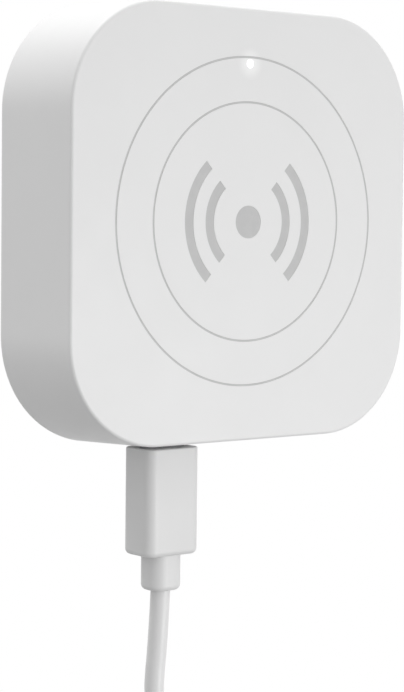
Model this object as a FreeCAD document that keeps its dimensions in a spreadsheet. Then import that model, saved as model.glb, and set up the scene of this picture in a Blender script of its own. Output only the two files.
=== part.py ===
# Radar presence sensor: a square wall sensor powered through a cable in its bottom wall.
# Row frame, millimetres: origin at the centre of the adhesive pad's wall face, +X to the right
# seen from the front, +Y into the wall, +Z up. A depth is a distance in front of the wall.

import FreeCAD, Part
import Sketcher
import math
import os
from FreeCAD import Placement, Rotation, Vector

doc = FreeCAD.newDocument("PresenceSensor")
sheet = doc.addObject("Spreadsheet::Sheet", "Size")

# Driving dimensions: alias, value and meaning
SIZES = (
    # Case
    ("case_side_back", 70.0, "side of the case at its rear rim"),
    ("case_side_front", 68.5, "side of the case at its face"),
    ("case_depth", 17.9, "rear rim to face"),
    ("case_corner", 17.6, "corner radius at the rear rim"),
    ("face_round", 0.5, "rounding between face and side walls"),
    ("side_wall", 1.8, "thickness of the side walls"),
    ("face_wall", 1.8, "thickness of the face"),
    ("cover_thick", 1.6, "thickness of the rear cover"),
    ("cover_ledge", 0.9, "width of the step that the rear cover sits on"),
    ("cover_gap", 0.12, "gap between rear cover and housing"),
    ("pad_side", 50.0, "side of the adhesive pad"),
    ("pad_corner", 12.0, "corner radius of the adhesive pad"),
    ("pad_thick", 1.0, "thickness of the adhesive pad"),
    ("pad_proud", 0.6, "how far the pad stands out of the rear cover"),
    # Snap hooks
    ("hook_offset", 13.0, "distance of each hook from the middle of its side"),
    ("hook_width", 6.0, "width of a hook"),
    ("hook_thick", 1.3, "thickness of a hook's arm"),
    ("hook_reach", 3.6, "length of a hook's arm in front of the cover"),
    ("hook_bead", 0.6, "how far a hook's bead stands out"),
    ("hook_bead_length", 1.2, "length of a hook's bead"),
    ("hook_gap", 0.2, "play between a hook and the housing"),
    # Face artwork
    ("ring_up", 0.6, "height of the circles' centre above the middle"),
    ("ring_outer", 26.0, "radius of the outer circle"),
    ("ring_inner", 18.9, "radius of the inner circle"),
    ("ring_line", 0.35, "width of the circles' lines"),
    ("mark_depth", 0.15, "depth of the lines and of the mark"),
    ("mark_dot", 2.6, "radius of the dot in the middle of the mark"),
    ("mark_near", 7.0, "inner radius of the near pair of arcs"),
    ("mark_far", 11.1, "inner radius of the far pair of arcs"),
    ("mark_line", 1.7, "width of the arcs"),
    ("mark_open", 48.0, "half the angle that each arc covers, in degrees"),
    # Main board and its screws
    ("board_gap", 2.32, "gap between the main board and the side walls"),
    ("board_corner", 13.0, "corner radius of the main board"),
    ("board_thick", 1.6, "thickness of the main board"),
    ("boss_inset", 10.82, "distance of a boss's axis from the side walls"),
    ("boss_radius", 2.8, "outer radius of a boss"),
    ("boss_rib", 1.0, "thickness of the ribs that brace a boss"),
    ("boss_rib_reach", 4.0, "how far a rib reaches from the boss's axis"),
    ("boss_rib_height", 5.0, "height of a rib above the face"),
    ("pilot_depth", 6.0, "depth of the hole in a boss"),
    ("screw_radius", 0.8, "radius of a board screw"),
    ("screw_length", 6.0, "length of a board screw under its head"),
    ("screw_gap", 0.05, "gap between a screw and the hole in its boss"),
    ("screw_play", 0.3, "gap between a screw and the hole in the main board"),
    ("head_radius", 1.9, "radius of a screw's head"),
    ("head_thick", 1.3, "height of a screw's head"),
    ("cross_width", 0.5, "width of the slots in a screw's head"),
    ("cross_length", 2.3, "length of the slots in a screw's head"),
    ("cross_depth", 0.6, "depth of the slots in a screw's head"),
    # Radar board
    ("radar_width", 24.0, "width of the radar board"),
    ("radar_height", 30.0, "height of the radar board"),
    ("radar_thick", 1.0, "thickness of the radar board"),
    ("radar_standoff", 2.5, "gap between the face and the radar board"),
    ("radar_post_radius", 1.5, "radius of the posts that carry the radar board"),
    ("radar_post_inset", 2.4, "distance of a post from the radar board's edges"),
    ("patch_width", 3.4, "width of an antenna patch"),
    ("patch_height", 4.2, "height of an antenna patch"),
    ("patch_thick", 0.1, "thickness of an antenna patch"),
    ("patch_pitch", 6.4, "distance between antenna patches"),
    ("patch_column", 4.8, "distance of the patches' columns from the middle"),
    ("radar_chip_side", 5.0, "side of the radar chip"),
    ("radar_chip_thick", 0.9, "thickness of the radar chip"),
    ("radar_chip_gap", 0.7, "distance of the radar chip from the header pins' row"),
    ("pin_pitch", 2.54, "distance between header pins"),
    ("pin_radius", 0.32, "radius of a header pin"),
    ("pin_hole_radius", 0.45, "radius of a header pin's holes"),
    ("pin_proud", 0.8, "how far a header pin stands out of a board"),
    ("header_inset", 2.8, "distance of the header's row from the radar board's lower edge"),
    ("header_block", 2.5, "width and height of the header's strip"),
    ("header_corner", 0.3, "corner radius of the header's strip"),
    ("snug_gap", 0.02, "gap around a piece that is pressed into another"),
    # Power socket in the bottom wall
    ("port_offset", 10.0, "how far the socket lies left of the middle"),
    ("port_from_back", 9.0, "distance of the socket's axis in front of the rear rim"),
    ("port_gap", 0.2, "gap between the socket and the wall around it"),
    ("socket_width", 8.9, "outer width of the socket's shell"),
    ("socket_thick", 3.2, "outer thickness of the socket's shell"),
    ("socket_metal", 0.25, "thickness of the socket's metal"),
    ("socket_length", 7.3, "length of the socket"),
    ("socket_recess", 0.7, "distance of the socket's mouth inside the wall's outer face"),
    ("socket_base", 1.4, "length of the block at the socket's closed end"),
    ("tongue_width", 6.2, "width of the socket's tongue"),
    ("tongue_thick", 0.7, "thickness of the socket's tongue"),
    ("tongue_corner", 0.17, "corner radius of the socket's tongue"),
    ("flat_end", 0.48, "corner radius of a flat metal tube, as a share of its thickness"),
    ("tongue_length", 4.4, "length of the socket's tongue in front of its block"),
    # Plug in the socket
    ("plug_gap", 0.85, "gap between the bottom wall and the plug's grip"),
    ("plug_width", 10.4, "width of the plug's grip"),
    ("plug_thick", 7.4, "thickness of the plug's grip"),
    ("plug_corner", 1.6, "rounding of the grip's long edges"),
    ("plug_top_round", 0.25, "rounding of the grip's edges next to the case"),
    ("plug_round", 0.9, "rounding of the grips' and the strain relief's other end edges"),
    ("plug_length", 17.3, "length of the plug's grip"),
    ("plug_fit", 0.1, "gap between the plug's metal shell and the socket's"),
    ("plug_metal_wall", 0.3, "thickness of the plug's metal shell"),
    ("plug_metal_length", 6.0, "length of the plug's metal shell"),
    ("collar_width", 6.0, "width of the strain relief at the grip"),
    ("collar_thick", 5.5, "thickness of the strain relief at the grip"),
    ("collar_corner", 2.2, "rounding of the strain relief's long edges"),
    ("collar_length", 5.8, "length of the strain relief"),
    # Cable
    ("cord_diameter", 3.2, "diameter of the cable"),
    ("coil_radius", 18.0, "radius of the coil at the middle of its turns"),
    ("coil_bundle", 4.78, "radius of the circle that the turns lie on in the coil's section"),
    ("tie_width", 7.0, "width of the tie around the coil"),
    ("tie_thick", 0.8, "thickness of the tie"),
    ("tie_gap", 0.1, "gap between the tie and the coil"),
    # Supply plug
    ("supply_width", 15.4, "width of the supply plug's grip"),
    ("supply_thick", 7.8, "thickness of the supply plug's grip"),
    ("supply_corner", 1.8, "rounding of the supply grip's long edges"),
    ("supply_length", 17.0, "length of the supply plug's grip"),
    ("supply_relief_radius", 2.7, "radius of the supply plug's strain relief"),
    ("supply_relief_length", 5.0, "length of the supply plug's strain relief"),
    ("supply_metal_width", 12.0, "outer width of the supply plug's metal shell"),
    ("supply_metal_thick", 4.5, "outer thickness of the supply plug's metal shell"),
    ("supply_metal_wall", 0.3, "thickness of the supply plug's metal shell"),
    ("supply_metal_length", 18.7, "length of the supply plug's metal shell"),
    ("supply_window", 2.2, "side of the square windows in the metal shell"),
    ("supply_window_gap", 2.9, "distance of the windows from the middle of the metal shell"),
    ("supply_window_place", 10.85, "distance of the windows from the grip"),
    ("supply_insert_thick", 1.9, "thickness of the supply plug's insert"),
    ("supply_contact_width", 1.0, "width of a contact strip"),
    ("supply_contact_thick", 0.2, "thickness of a contact strip"),
    ("supply_contact_length", 7.0, "length of a contact strip"),
    ("supply_contact_pitch", 2.2, "distance between contact strips"),
    # Pairing button in the right-hand wall
    ("button_radius", 2.5, "radius of the button's cap"),
    ("button_gap", 0.25, "gap around the button's cap"),
    ("button_round", 0.4, "rounding of the cap's edge"),
    ("button_flange_radius", 3.4, "radius of the flange that keeps the button in"),
    ("button_flange_thick", 0.8, "thickness of the flange"),
    ("button_flange_gap", 0.15, "least play between flange and wall"),
    ("stem_radius", 1.1, "radius of the button's stem"),
    ("switch_depth", 3.5, "length of the pairing switch along its plunger"),
    ("switch_width", 6.0, "width of the pairing switch"),
    ("switch_inset", 1.8, "distance of the switch's front from the board's edge"),
    ("plunger_radius", 0.9, "radius of the switch's plunger"),
    ("plunger_length", 1.0, "how far the plunger stands out of the switch"),
    ("plunger_inside", 0.6, "how far the plunger reaches into the switch"),
    ("plunger_gap", 0.2, "gap around the plunger in the switch"),
    ("plunger_bore", 1.3, "depth of the plunger's bore"),
    # Status light
    ("guide_radius", 0.65, "radius of the light guide's tip"),
    ("guide_gap", 0.03, "gap around the light guide's tip"),
    ("guide_inset", 1.02, "distance of the light guide inside the outer circle"),
    ("guide_stem_radius", 1.1, "radius of the light guide's rod"),
    ("guide_flange_radius", 2.0, "radius of the light guide's flange"),
    ("guide_flange_thick", 0.8, "thickness of the light guide's flange"),
    ("guide_led_gap", 0.3, "gap between the light guide and the status light"),
    ("led_width", 1.6, "width of the status light"),
    ("led_height", 0.9, "height of the status light"),
    ("led_thick", 0.7, "thickness of the status light"),
    # Radio module and small parts
    ("radio_width", 12.0, "width of the radio module's board"),
    ("radio_height", 15.0, "height of the radio module's board"),
    ("radio_thick", 0.8, "thickness of the radio module's board"),
    ("can_side", 9.8, "side of the radio module's shield can"),
    ("can_thick", 2.0, "height of the shield can"),
    ("can_wall", 0.2, "thickness of the shield can's metal"),
    ("can_inset", 0.8, "distance of the can from the module's lower edge"),
    ("radio_gap", 0.4, "gap between the radio module and the boss and switch beside it"),
    ("regulator_width", 6.5, "width of the regulator"),
    ("regulator_height", 3.5, "height of the regulator"),
    ("regulator_thick", 1.7, "thickness of the regulator"),
    ("choke_side", 4.0, "side of the choke"),
    ("choke_thick", 2.0, "thickness of the choke"),
    ("capacitor_width", 2.0, "width of a capacitor"),
    ("capacitor_height", 1.25, "height of a capacitor"),
    ("capacitor_thick", 1.0, "thickness of a capacitor"),
    ("capacitor_pitch", 3.2, "distance between capacitors"),
    ("parts_inset", 9.5, "distance of the power parts' row from the main board's edge"),
)
for row, (alias, value, meaning) in enumerate(SIZES, start=1):
    sheet.set("A%d" % row, meaning)
    sheet.set("B%d" % row, str(value))
    sheet.setAlias("B%d" % row, alias)
doc.recompute()

# The cable's chosen points, x y z from the end of the strain relief: down, then round into the coil
CORD_ROUTE = (
    (0.0, 0.0, 0.0),
    (-0.2, 0.0, -8.5),
    (-0.5, 0.1, -17.5),
    (2.2, 0.1, -25.0),
    (7.3, 0.0, -31.2),
    (14.3, 0.0, -35.2),
)
# Centre of the coil from the end of the strain relief
COIL_CENTRE = (2.9, 0.0, -54.9)
# The loose end's chosen points from the coil's centre: down its right side to the supply plug
TAIL_ROUTE = (
    (22.0, -2.6, 0.0),
    (22.6, -2.3, -5.2),
    (23.6, -1.5, -10.2),
    (23.8, -1.3, -15.4),
)


def size(expression):
    """The number that an expression of the sheet's sizes gives."""
    return float(sheet.evalExpression(expression))


# Depths in front of the wall
REAR_RIM = "Size.pad_proud"
FACE = "(Size.pad_proud + Size.case_depth)"
FACE_INSIDE = "(Size.pad_proud + Size.case_depth - Size.face_wall)"
COVER_INSIDE = "(Size.pad_proud + Size.cover_thick)"
PORT_AXIS = "(Size.pad_proud + Size.port_from_back)"
BOARD_FRONT = "(Size.pad_proud + Size.port_from_back - Size.socket_thick / 2)"
BOARD_BACK = "(" + BOARD_FRONT + " - Size.board_thick)"
RADAR_FRONT = "(" + FACE_INSIDE + " - Size.radar_standoff)"
RADAR_BACK = "(" + RADAR_FRONT + " - Size.radar_thick)"

# Side walls: their slope, and half the case's side at the socket's, the cover's and the hooks' depth
DRAFT = "((Size.case_side_back - Size.case_side_front) / 2 / Size.case_depth)"
HALF_AT_PORT = "(Size.case_side_back / 2 - " + DRAFT + " * Size.port_from_back)"
HALF_AT_COVER = "(Size.case_side_back / 2 - " + DRAFT + " * Size.cover_thick)"
HALF_AT_HOOK = "(" + HALF_AT_COVER + " - " + DRAFT + " * Size.hook_reach)"
INSIDE_AT_PORT = "(" + HALF_AT_PORT + " - Size.side_wall)"
INSIDE_AT_HOOK = "(" + HALF_AT_HOOK + " - Size.side_wall)"
NARROWEST_AT_HOOK = "(min(" + HALF_AT_COVER + "; " + HALF_AT_HOOK + ") - Size.side_wall)"

# Places that several pieces share
GUIDE_UP = "(Size.ring_up + Size.ring_outer - Size.guide_inset)"
BOARD_HALF = "(" + INSIDE_AT_PORT + " - Size.board_gap)"
BOSS_PLACE = "(" + INSIDE_AT_PORT + " - Size.boss_inset)"
HEADER_DOWN = "(Size.radar_height / 2 - Size.header_inset)"
PLUG_METAL_WIDTH = "(Size.socket_width - 2 * Size.socket_metal - 2 * Size.plug_fit)"
PLUG_METAL_THICK = "(Size.socket_thick - 2 * Size.socket_metal - 2 * Size.plug_fit)"
SOCKET_MOUTH = "(" + HALF_AT_PORT + " - Size.socket_recess)"
GRIP_TOP = "(" + HALF_AT_PORT + " + Size.plug_gap)"
GRIP_END = "(" + GRIP_TOP + " + Size.plug_length)"
COLLAR_END = "(" + GRIP_END + " + Size.collar_length)"
SWITCH_FRONT = "(" + BOARD_HALF + " - Size.switch_inset)"
PLUNGER_TIP = "(" + SWITCH_FRONT + " + Size.plunger_length)"
FLANGE_SLOPE = "(abs(" + DRAFT + ") * Size.button_flange_radius)"
FLANGE_OUTSIDE = "(" + INSIDE_AT_PORT + " - " + FLANGE_SLOPE + " - Size.button_flange_gap)"
COIL_SECTION = "(Size.coil_bundle + Size.cord_diameter / 2)"
POST_X = "(Size.radar_width / 2 - Size.radar_post_inset)"
POST_Z = "(Size.radar_height / 2 - Size.radar_post_inset)"

QUARTER_TURNS = 4
# Signs of x and z in the four corners
CORNERS = (("", ""), ("-", ""), ("", "-"), ("-", "-"))
PIN_COUNT = 5
CAPACITOR_COUNT = 3
CONTACT_COUNT = 4
# Sides of the coil's section, and the tie's direction from the coil's centre, in degrees above +X
COIL_SIDES = 12
TIE_UP = 35
# Share of a cable's shorter run that an arc takes at each end
ARC_SHARE = 0.45
# Distance within which a place on an edge counts as the one looked for
SAME_PLACE = 0.01


# Helpers for sketches and features


def origin_item(body, role):
    return next(item for item in body.Origin.OriginFeatures if item.Role == role)


def new_body(label):
    body = doc.addObject("PartDesign::Body", label)
    body.Label = label
    return body


def new_sketch(body, name, role, distance, x="0", y="0"):
    """A sketch on one of the body's origin planes, moved along its normal and in its plane."""
    sketch = body.newObject("Sketcher::SketchObject", name)
    sketch.AttachmentSupport = [(origin_item(body, role), "")]
    sketch.MapMode = "FlatFace"
    sketch.setExpression(".AttachmentOffset.Base.x", x)
    sketch.setExpression(".AttachmentOffset.Base.y", y)
    sketch.setExpression(".AttachmentOffset.Base.z", distance)
    return sketch


def bind(sketch, kind, references, expression):
    """A dimension of a sketch, tied to the sheet."""
    value = size(expression)
    if kind == "Angle":
        value = math.radians(value)
    index = sketch.addConstraint(Sketcher.Constraint(kind, *references, value))
    sketch.setExpression("Constraints[%d]" % index, expression)


def rounded_rectangle(sketch, width, height, corner):
    """Four straight sides joined by tangent arcs, centred on the sketch's origin."""
    half_w = size(width) / 2
    half_h = size(height) / 2
    radius = size(corner)
    in_x = half_w - radius
    in_y = half_h - radius
    first = sketch.GeometryCount
    sides = (
        ((-in_x, -half_h), (in_x, -half_h)),
        ((half_w, -in_y), (half_w, in_y)),
        ((in_x, half_h), (-in_x, half_h)),
        ((-half_w, in_y), (-half_w, -in_y)),
    )
    for start, end in sides:
        sketch.addGeometry(Part.LineSegment(Vector(*start, 0), Vector(*end, 0)), False)
    centres = ((in_x, -in_y), (in_x, in_y), (-in_x, in_y), (-in_x, -in_y))
    for quarter, centre in enumerate(centres):
        circle = Part.Circle(Vector(*centre, 0), Vector(0, 0, 1), radius)
        start = (quarter - 1) * math.pi / 2
        sketch.addGeometry(Part.ArcOfCircle(circle, start, start + math.pi / 2), False)
    for side in range(QUARTER_TURNS):
        line = first + side
        arc = first + QUARTER_TURNS + side
        following = first + (side + 1) % QUARTER_TURNS
        sketch.addConstraint(Sketcher.Constraint("Tangent", line, 2, arc, 1))
        sketch.addConstraint(Sketcher.Constraint("Tangent", arc, 2, following, 1))
        sketch.addConstraint(Sketcher.Constraint("Vertical" if side % 2 else "Horizontal", line))
        if side:
            sketch.addConstraint(Sketcher.Constraint("Equal", first + QUARTER_TURNS, arc))
    sketch.addConstraint(Sketcher.Constraint("Symmetric", first + 4, 3, first + 6, 3, -1, 1))
    bind(sketch, "Radius", (first + QUARTER_TURNS,), corner)
    bind(sketch, "DistanceX", (first + 3, 1, first + 1, 2), width)
    bind(sketch, "DistanceY", (first, 1, first + 2, 2), height)


def circle(sketch, radius):
    """A circle about the sketch's origin."""
    index = sketch.addGeometry(Part.Circle(Vector(0, 0, 0), Vector(0, 0, 1), size(radius)), False)
    sketch.addConstraint(Sketcher.Constraint("Coincident", index, 3, -1, 1))
    bind(sketch, "Radius", (index,), radius)


def outline(sketch, corners):
    """Straight sides through corners, each a pair of expressions."""
    first = sketch.GeometryCount
    places = [Vector(size(x), size(y), 0) for x, y in corners]
    count = len(places)
    for number in range(count):
        line = Part.LineSegment(places[number], places[(number + 1) % count])
        sketch.addGeometry(line, False)
    for number, (x, y) in enumerate(corners):
        following = first + (number + 1) % count
        sketch.addConstraint(Sketcher.Constraint("Coincident", first + number, 2, following, 1))
        bind(sketch, "DistanceX", (-1, 1, first + number, 1), x)
        bind(sketch, "DistanceY", (-1, 1, first + number, 1), y)


def feature(body, kind, name, profile, **settings):
    """A PartDesign feature of a sketch; a text setting is an expression."""
    item = body.newObject("PartDesign::" + kind, name)
    item.Profile = profile
    for key, value in settings.items():
        if isinstance(value, str) and key in ("Length", "TaperAngle", "Angle"):
            item.setExpression(key, value)
        else:
            setattr(item, key, value)
    doc.recompute()
    return item


def pad(body, name, profile, length, **settings):
    return feature(body, "Pad", name, profile, Length=length, **settings)


def pocket(body, name, profile, length, **settings):
    return feature(body, "Pocket", name, profile, Length=length, **settings)


def quarter_pattern(body, name, originals):
    """The features again on all four sides, about the axis that runs into the wall."""
    pattern = body.newObject("PartDesign::PolarPattern", name)
    pattern.Originals = originals
    pattern.Axis = (origin_item(body, "Y_Axis"), [""])
    pattern.Angle = 360
    pattern.Occurrences = QUARTER_TURNS
    body.Tip = pattern
    doc.recompute()
    return pattern


def edges_where(item, test):
    """Names of the edges of a feature whose middle point passes the test."""
    names = []
    for number, edge in enumerate(item.Shape.Edges, start=1):
        middle = edge.valueAt((edge.FirstParameter + edge.LastParameter) / 2)
        if test(middle, edge):
            names.append("Edge%d" % number)
    return names


def fillet(body, name, base, names, radius):
    item = body.newObject("PartDesign::Fillet", name)
    item.Base = (base, names)
    item.setExpression("Radius", radius)
    doc.recompute()
    return item


# Helpers for primitives, whose places are x, depth and z


def place(item, x, depth, z):
    """Puts an item at x, at a depth in front of the wall and at height z."""
    item.setExpression(".Placement.Base.x", x)
    item.setExpression(".Placement.Base.y", "-(" + depth + ")")
    item.setExpression(".Placement.Base.z", z)


def block(label, width, thick, height, x, back, z):
    """A box centred on x and z whose back lies at a depth."""
    item = doc.addObject("Part::Box", label)
    item.Label = label
    item.setExpression("Length", width)
    item.setExpression("Width", thick)
    item.setExpression("Height", height)
    place(item, x + " - (" + width + ") / 2", back + " + (" + thick + ")", z + " - (" + height + ") / 2")
    return item


def rod(label, radius, length, x, depth, z, axis):
    """A cylinder from a point along a direction."""
    item = doc.addObject("Part::Cylinder", label)
    item.Label = label
    item.Placement = Placement(Vector(), Rotation(Vector(0, 0, 1), axis))
    item.setExpression("Radius", radius)
    item.setExpression("Height", length)
    place(item, x, depth, z)
    return item


def boolean(kind, label, items):
    """A fusion or a group of several items, or a cut of the second from the first."""
    item = doc.addObject("Part::" + kind, label)
    item.Label = label
    if kind == "Cut":
        item.Base, item.Tool = items
    elif kind == "Compound":
        item.Links = items
    else:
        item.Shapes = items
    return item


# Front housing: drafted shell with the cover's step, bosses, posts, cut-outs and face artwork


def make_front_housing():
    body = new_body("front_housing")
    slope = "atan(" + DRAFT + ")"
    rim = new_sketch(body, "rim", "XZ_Plane", REAR_RIM)
    rounded_rectangle(rim, "Size.case_side_back", "Size.case_side_back", "Size.case_corner")
    shell = pad(body, "shell", rim, "Size.case_depth", TaperAngle="-" + slope)
    face_y = -size(FACE)
    face_edges = edges_where(shell, lambda middle, edge: abs(middle.y - face_y) < SAME_PLACE)
    rounded = fillet(body, "face_rounding", shell, face_edges, "Size.face_round")
    body.Tip = rounded

    inner_side = "Size.case_side_back - 2 * Size.side_wall"
    hollow_outline = new_sketch(body, "hollow_outline", "XZ_Plane", REAR_RIM)
    rounded_rectangle(hollow_outline, inner_side, inner_side, "Size.case_corner - Size.side_wall")
    pocket(body, "hollow", hollow_outline, "Size.case_depth - Size.face_wall",
           Reversed=True, TaperAngle="-" + slope)

    step_side = "Size.case_side_back - 2 * (Size.side_wall - Size.cover_ledge)"
    step_corner = "Size.case_corner - Size.side_wall + Size.cover_ledge"
    step_outline = new_sketch(body, "step_outline", "XZ_Plane", REAR_RIM)
    rounded_rectangle(step_outline, step_side, step_side, step_corner)
    pocket(body, "cover_step", step_outline, "Size.cover_thick", Reversed=True, TaperAngle="-" + slope)

    add_bosses(body)
    add_radar_posts(body)
    add_hook_seats(body)
    add_cut_outs(body)
    add_artwork(body)
    return body


def add_bosses(body):
    """Four screw bosses with crossed ribs, from the face to the main board."""
    reach = FACE_INSIDE + " - " + BOARD_FRONT
    column = new_sketch(body, "boss_outline", "XZ_Plane", FACE_INSIDE, BOSS_PLACE, BOSS_PLACE)
    circle(column, "Size.boss_radius")
    boss = pad(body, "boss", column, reach, Reversed=True)
    ribs = []
    for name, wide, tall in (("across", "2 * Size.boss_rib_reach", "Size.boss_rib"),
                             ("upright", "Size.boss_rib", "2 * Size.boss_rib_reach")):
        rib = new_sketch(body, "rib_" + name, "XZ_Plane", FACE_INSIDE, BOSS_PLACE, BOSS_PLACE)
        x = "(" + wide + ") / 2"
        y = "(" + tall + ") / 2"
        outline(rib, ((" -" + x, " -" + y), (x, " -" + y), (x, y), (" -" + x, y)))
        ribs.append(pad(body, "boss_rib_" + name, rib, "Size.boss_rib_height", Reversed=True))
    quarter_pattern(body, "bosses", [boss] + ribs)
    drill = new_sketch(body, "pilot_outline", "XZ_Plane", BOARD_FRONT, BOSS_PLACE, BOSS_PLACE)
    circle(drill, "Size.screw_radius + Size.screw_gap")
    pilot = pocket(body, "pilot", drill, "Size.pilot_depth", Reversed=True)
    quarter_pattern(body, "pilots", [pilot])


def add_radar_posts(body):
    """Four posts on the face that carry the radar board."""
    for number, (side, level) in enumerate(CORNERS, start=1):
        foot = new_sketch(body, "post_outline_%d" % number, "XZ_Plane", FACE_INSIDE,
                          side + POST_X, level + POST_Z)
        circle(foot, "Size.radar_post_radius")
        pad(body, "radar_post_%d" % number, foot, "Size.radar_standoff", Reversed=True)


def add_hook_seats(body):
    """Slots inside the side walls that the rear cover's hooks snap into."""
    near = COVER_INSIDE + " + Size.hook_reach - Size.hook_bead_length - Size.hook_gap"
    seat_width = "Size.hook_width + 2 * Size.hook_gap"
    seat_length = "Size.hook_bead_length + 2 * Size.hook_gap"
    depth = "(Size.hook_bead + Size.hook_gap)"
    seats = []
    for name, sign in (("right", ""), ("left", "-")):
        seat = new_sketch(body, "seat_outline_" + name, "XZ_Plane", near,
                          sign + "Size.hook_offset", INSIDE_AT_HOOK)
        x = "(" + seat_width + ") / 2"
        outline(seat, (("-" + x, "-" + depth), (x, "-" + depth), (x, "Size.hook_bead"),
                       ("-" + x, "Size.hook_bead")))
        seats.append(pocket(body, "hook_seat_" + name, seat, seat_length, Reversed=True))
    quarter_pattern(body, "hook_seats", seats)


def add_cut_outs(body):
    """The socket's slot, the button's hole and the light guide's hole."""
    wide = "Size.socket_width + 2 * Size.port_gap"
    thick = "Size.socket_thick + 2 * Size.port_gap"
    outside = HALF_AT_PORT + " + 2 * Size.side_wall"
    through = "4 * Size.side_wall"
    slot = new_sketch(body, "port_outline", "XY_Plane", "-(" + outside + ")",
                      "-Size.port_offset", "-" + PORT_AXIS)
    rounded_rectangle(slot, wide, thick, "(" + thick + ") * Size.flat_end")
    pocket(body, "port", slot, through, Reversed=True)
    hole = new_sketch(body, "button_hole_outline", "YZ_Plane", outside, "-" + PORT_AXIS, "0")
    circle(hole, "Size.button_radius + Size.button_gap")
    pocket(body, "button_hole", hole, through)
    lamp = new_sketch(body, "guide_hole_outline", "XZ_Plane", FACE + " + Size.face_wall", "0", GUIDE_UP)
    circle(lamp, "Size.guide_radius + Size.guide_gap")
    pocket(body, "guide_hole", lamp, "3 * Size.face_wall")


def add_artwork(body):
    """Two thin circles and a plain mark of a dot between arcs, sunk in the face."""
    for name, radius in (("outer", "Size.ring_outer"), ("inner", "Size.ring_inner")):
        line = new_sketch(body, "circle_outline_" + name, "XZ_Plane", FACE, "0", "Size.ring_up")
        circle(line, radius + " + Size.ring_line / 2")
        circle(line, radius + " - Size.ring_line / 2")
        pocket(body, "circle_" + name, line, "Size.mark_depth")
    dot = new_sketch(body, "dot_outline", "XZ_Plane", FACE, "0", "Size.ring_up")
    circle(dot, "Size.mark_dot")
    pocket(body, "mark_dot", dot, "Size.mark_depth")
    for name, radius in (("near", "Size.mark_near"), ("far", "Size.mark_far")):
        for side, middle in (("right", 0), ("left", 180)):
            arc = new_sketch(body, "arc_outline_%s_%s" % (name, side), "XZ_Plane", FACE, "0", "Size.ring_up")
            arc_band(arc, radius, radius + " + Size.mark_line", "Size.mark_open", middle)
            pocket(body, "mark_%s_%s" % (name, side), arc, "Size.mark_depth")


def arc_band(sketch, inner, outer, half_angle, middle):
    """A band between two arcs about the sketch's origin, centred on a direction in degrees."""
    opening = math.radians(size(half_angle))
    start = math.radians(middle) - opening
    end = math.radians(middle) + opening
    for radius in (inner, outer):
        whole = Part.Circle(Vector(0, 0, 0), Vector(0, 0, 1), size(radius))
        index = sketch.addGeometry(Part.ArcOfCircle(whole, start, end), False)
        sketch.addConstraint(Sketcher.Constraint("Coincident", index, 3, -1, 1))
        bind(sketch, "Radius", (index,), radius)
    for point, angle in ((1, start), (2, end)):
        ends = [Vector(size(radius) * math.cos(angle), size(radius) * math.sin(angle), 0)
                for radius in (inner, outer)]
        index = sketch.addGeometry(Part.LineSegment(*ends), False)
        sketch.addConstraint(Sketcher.Constraint("Coincident", index, 1, 0, point))
        sketch.addConstraint(Sketcher.Constraint("Coincident", index, 2, 1, point))
        sketch.addConstraint(Sketcher.Constraint("PointOnObject", -1, 1, index))
    sketch.addConstraint(Sketcher.Constraint("Symmetric", 1, 1, 1, 2, -1))
    bind(sketch, "Angle", (0,), "2 * " + half_angle)


# Rear cover: plate in the housing's step, with a locating rim, snap hooks and the pad's recess


def make_rear_cover():
    body = new_body("rear_cover")
    slope = "atan(" + DRAFT + ")"
    inset = "(Size.side_wall - Size.cover_ledge + Size.cover_gap)"
    side = "Size.case_side_back - 2 * " + inset
    plate_outline = new_sketch(body, "plate_outline", "XZ_Plane", REAR_RIM)
    rounded_rectangle(plate_outline, side, side, "Size.case_corner - " + inset)
    pad(body, "plate", plate_outline, "Size.cover_thick", TaperAngle="-" + slope)

    hooks = []
    edge = "(" + NARROWEST_AT_HOOK + " - Size.hook_gap)"
    bead = "(" + INSIDE_AT_HOOK + " - Size.hook_gap + Size.hook_bead)"
    front = "(-(" + COVER_INSIDE + " + Size.hook_reach))"
    crown = front + " + Size.hook_bead_length / 2"
    shoulder = front + " + Size.hook_bead_length"
    root = "(-(" + COVER_INSIDE + " - Size.cover_thick / 2))"
    for name, sign in (("right", ""), ("left", "-")):
        profile = new_sketch(body, "hook_outline_" + name, "YZ_Plane", sign + "Size.hook_offset")
        outline(profile, (
            (root, edge + " - Size.hook_thick"),
            (front, edge + " - Size.hook_thick"),
            (front, edge),
            (crown, bead),
            (shoulder, bead),
            (shoulder, edge),
            (root, edge),
        ))
        hooks.append(pad(body, "hook_" + name, profile, "Size.hook_width", Midplane=True))
    quarter_pattern(body, "hooks", hooks)

    recess_outline = new_sketch(body, "recess_outline", "XZ_Plane", REAR_RIM)
    recess_side = "Size.pad_side + 2 * Size.cover_gap"
    rounded_rectangle(recess_outline, recess_side, recess_side, "Size.pad_corner + Size.cover_gap")
    pocket(body, "pad_recess", recess_outline, "Size.pad_thick - Size.pad_proud", Reversed=True)
    return body


def make_adhesive_pad():
    body = new_body("adhesive_pad")
    sheet_outline = new_sketch(body, "pad_outline", "XZ_Plane", "0")
    rounded_rectangle(sheet_outline, "Size.pad_side", "Size.pad_side", "Size.pad_corner")
    pad(body, "pad", sheet_outline, "Size.pad_thick")
    return body


# Main board, with holes for the screws and the header, and its screws


def make_main_board():
    body = new_body("main_board")
    board = new_sketch(body, "board_outline", "XZ_Plane", BOARD_BACK)
    rounded_rectangle(board, "2 * " + BOARD_HALF, "2 * " + BOARD_HALF, "Size.board_corner")
    pad(body, "board", board, "Size.board_thick")
    hole = new_sketch(body, "screw_hole_outline", "XZ_Plane", BOARD_BACK, BOSS_PLACE, BOSS_PLACE)
    circle(hole, "Size.screw_radius + Size.screw_play")
    drilled = pocket(body, "screw_hole", hole, "Size.board_thick", Reversed=True)
    quarter_pattern(body, "screw_holes", [drilled])
    add_pin_holes(body, BOARD_BACK, "Size.board_thick", "Size.pin_hole_radius")
    return body


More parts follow.
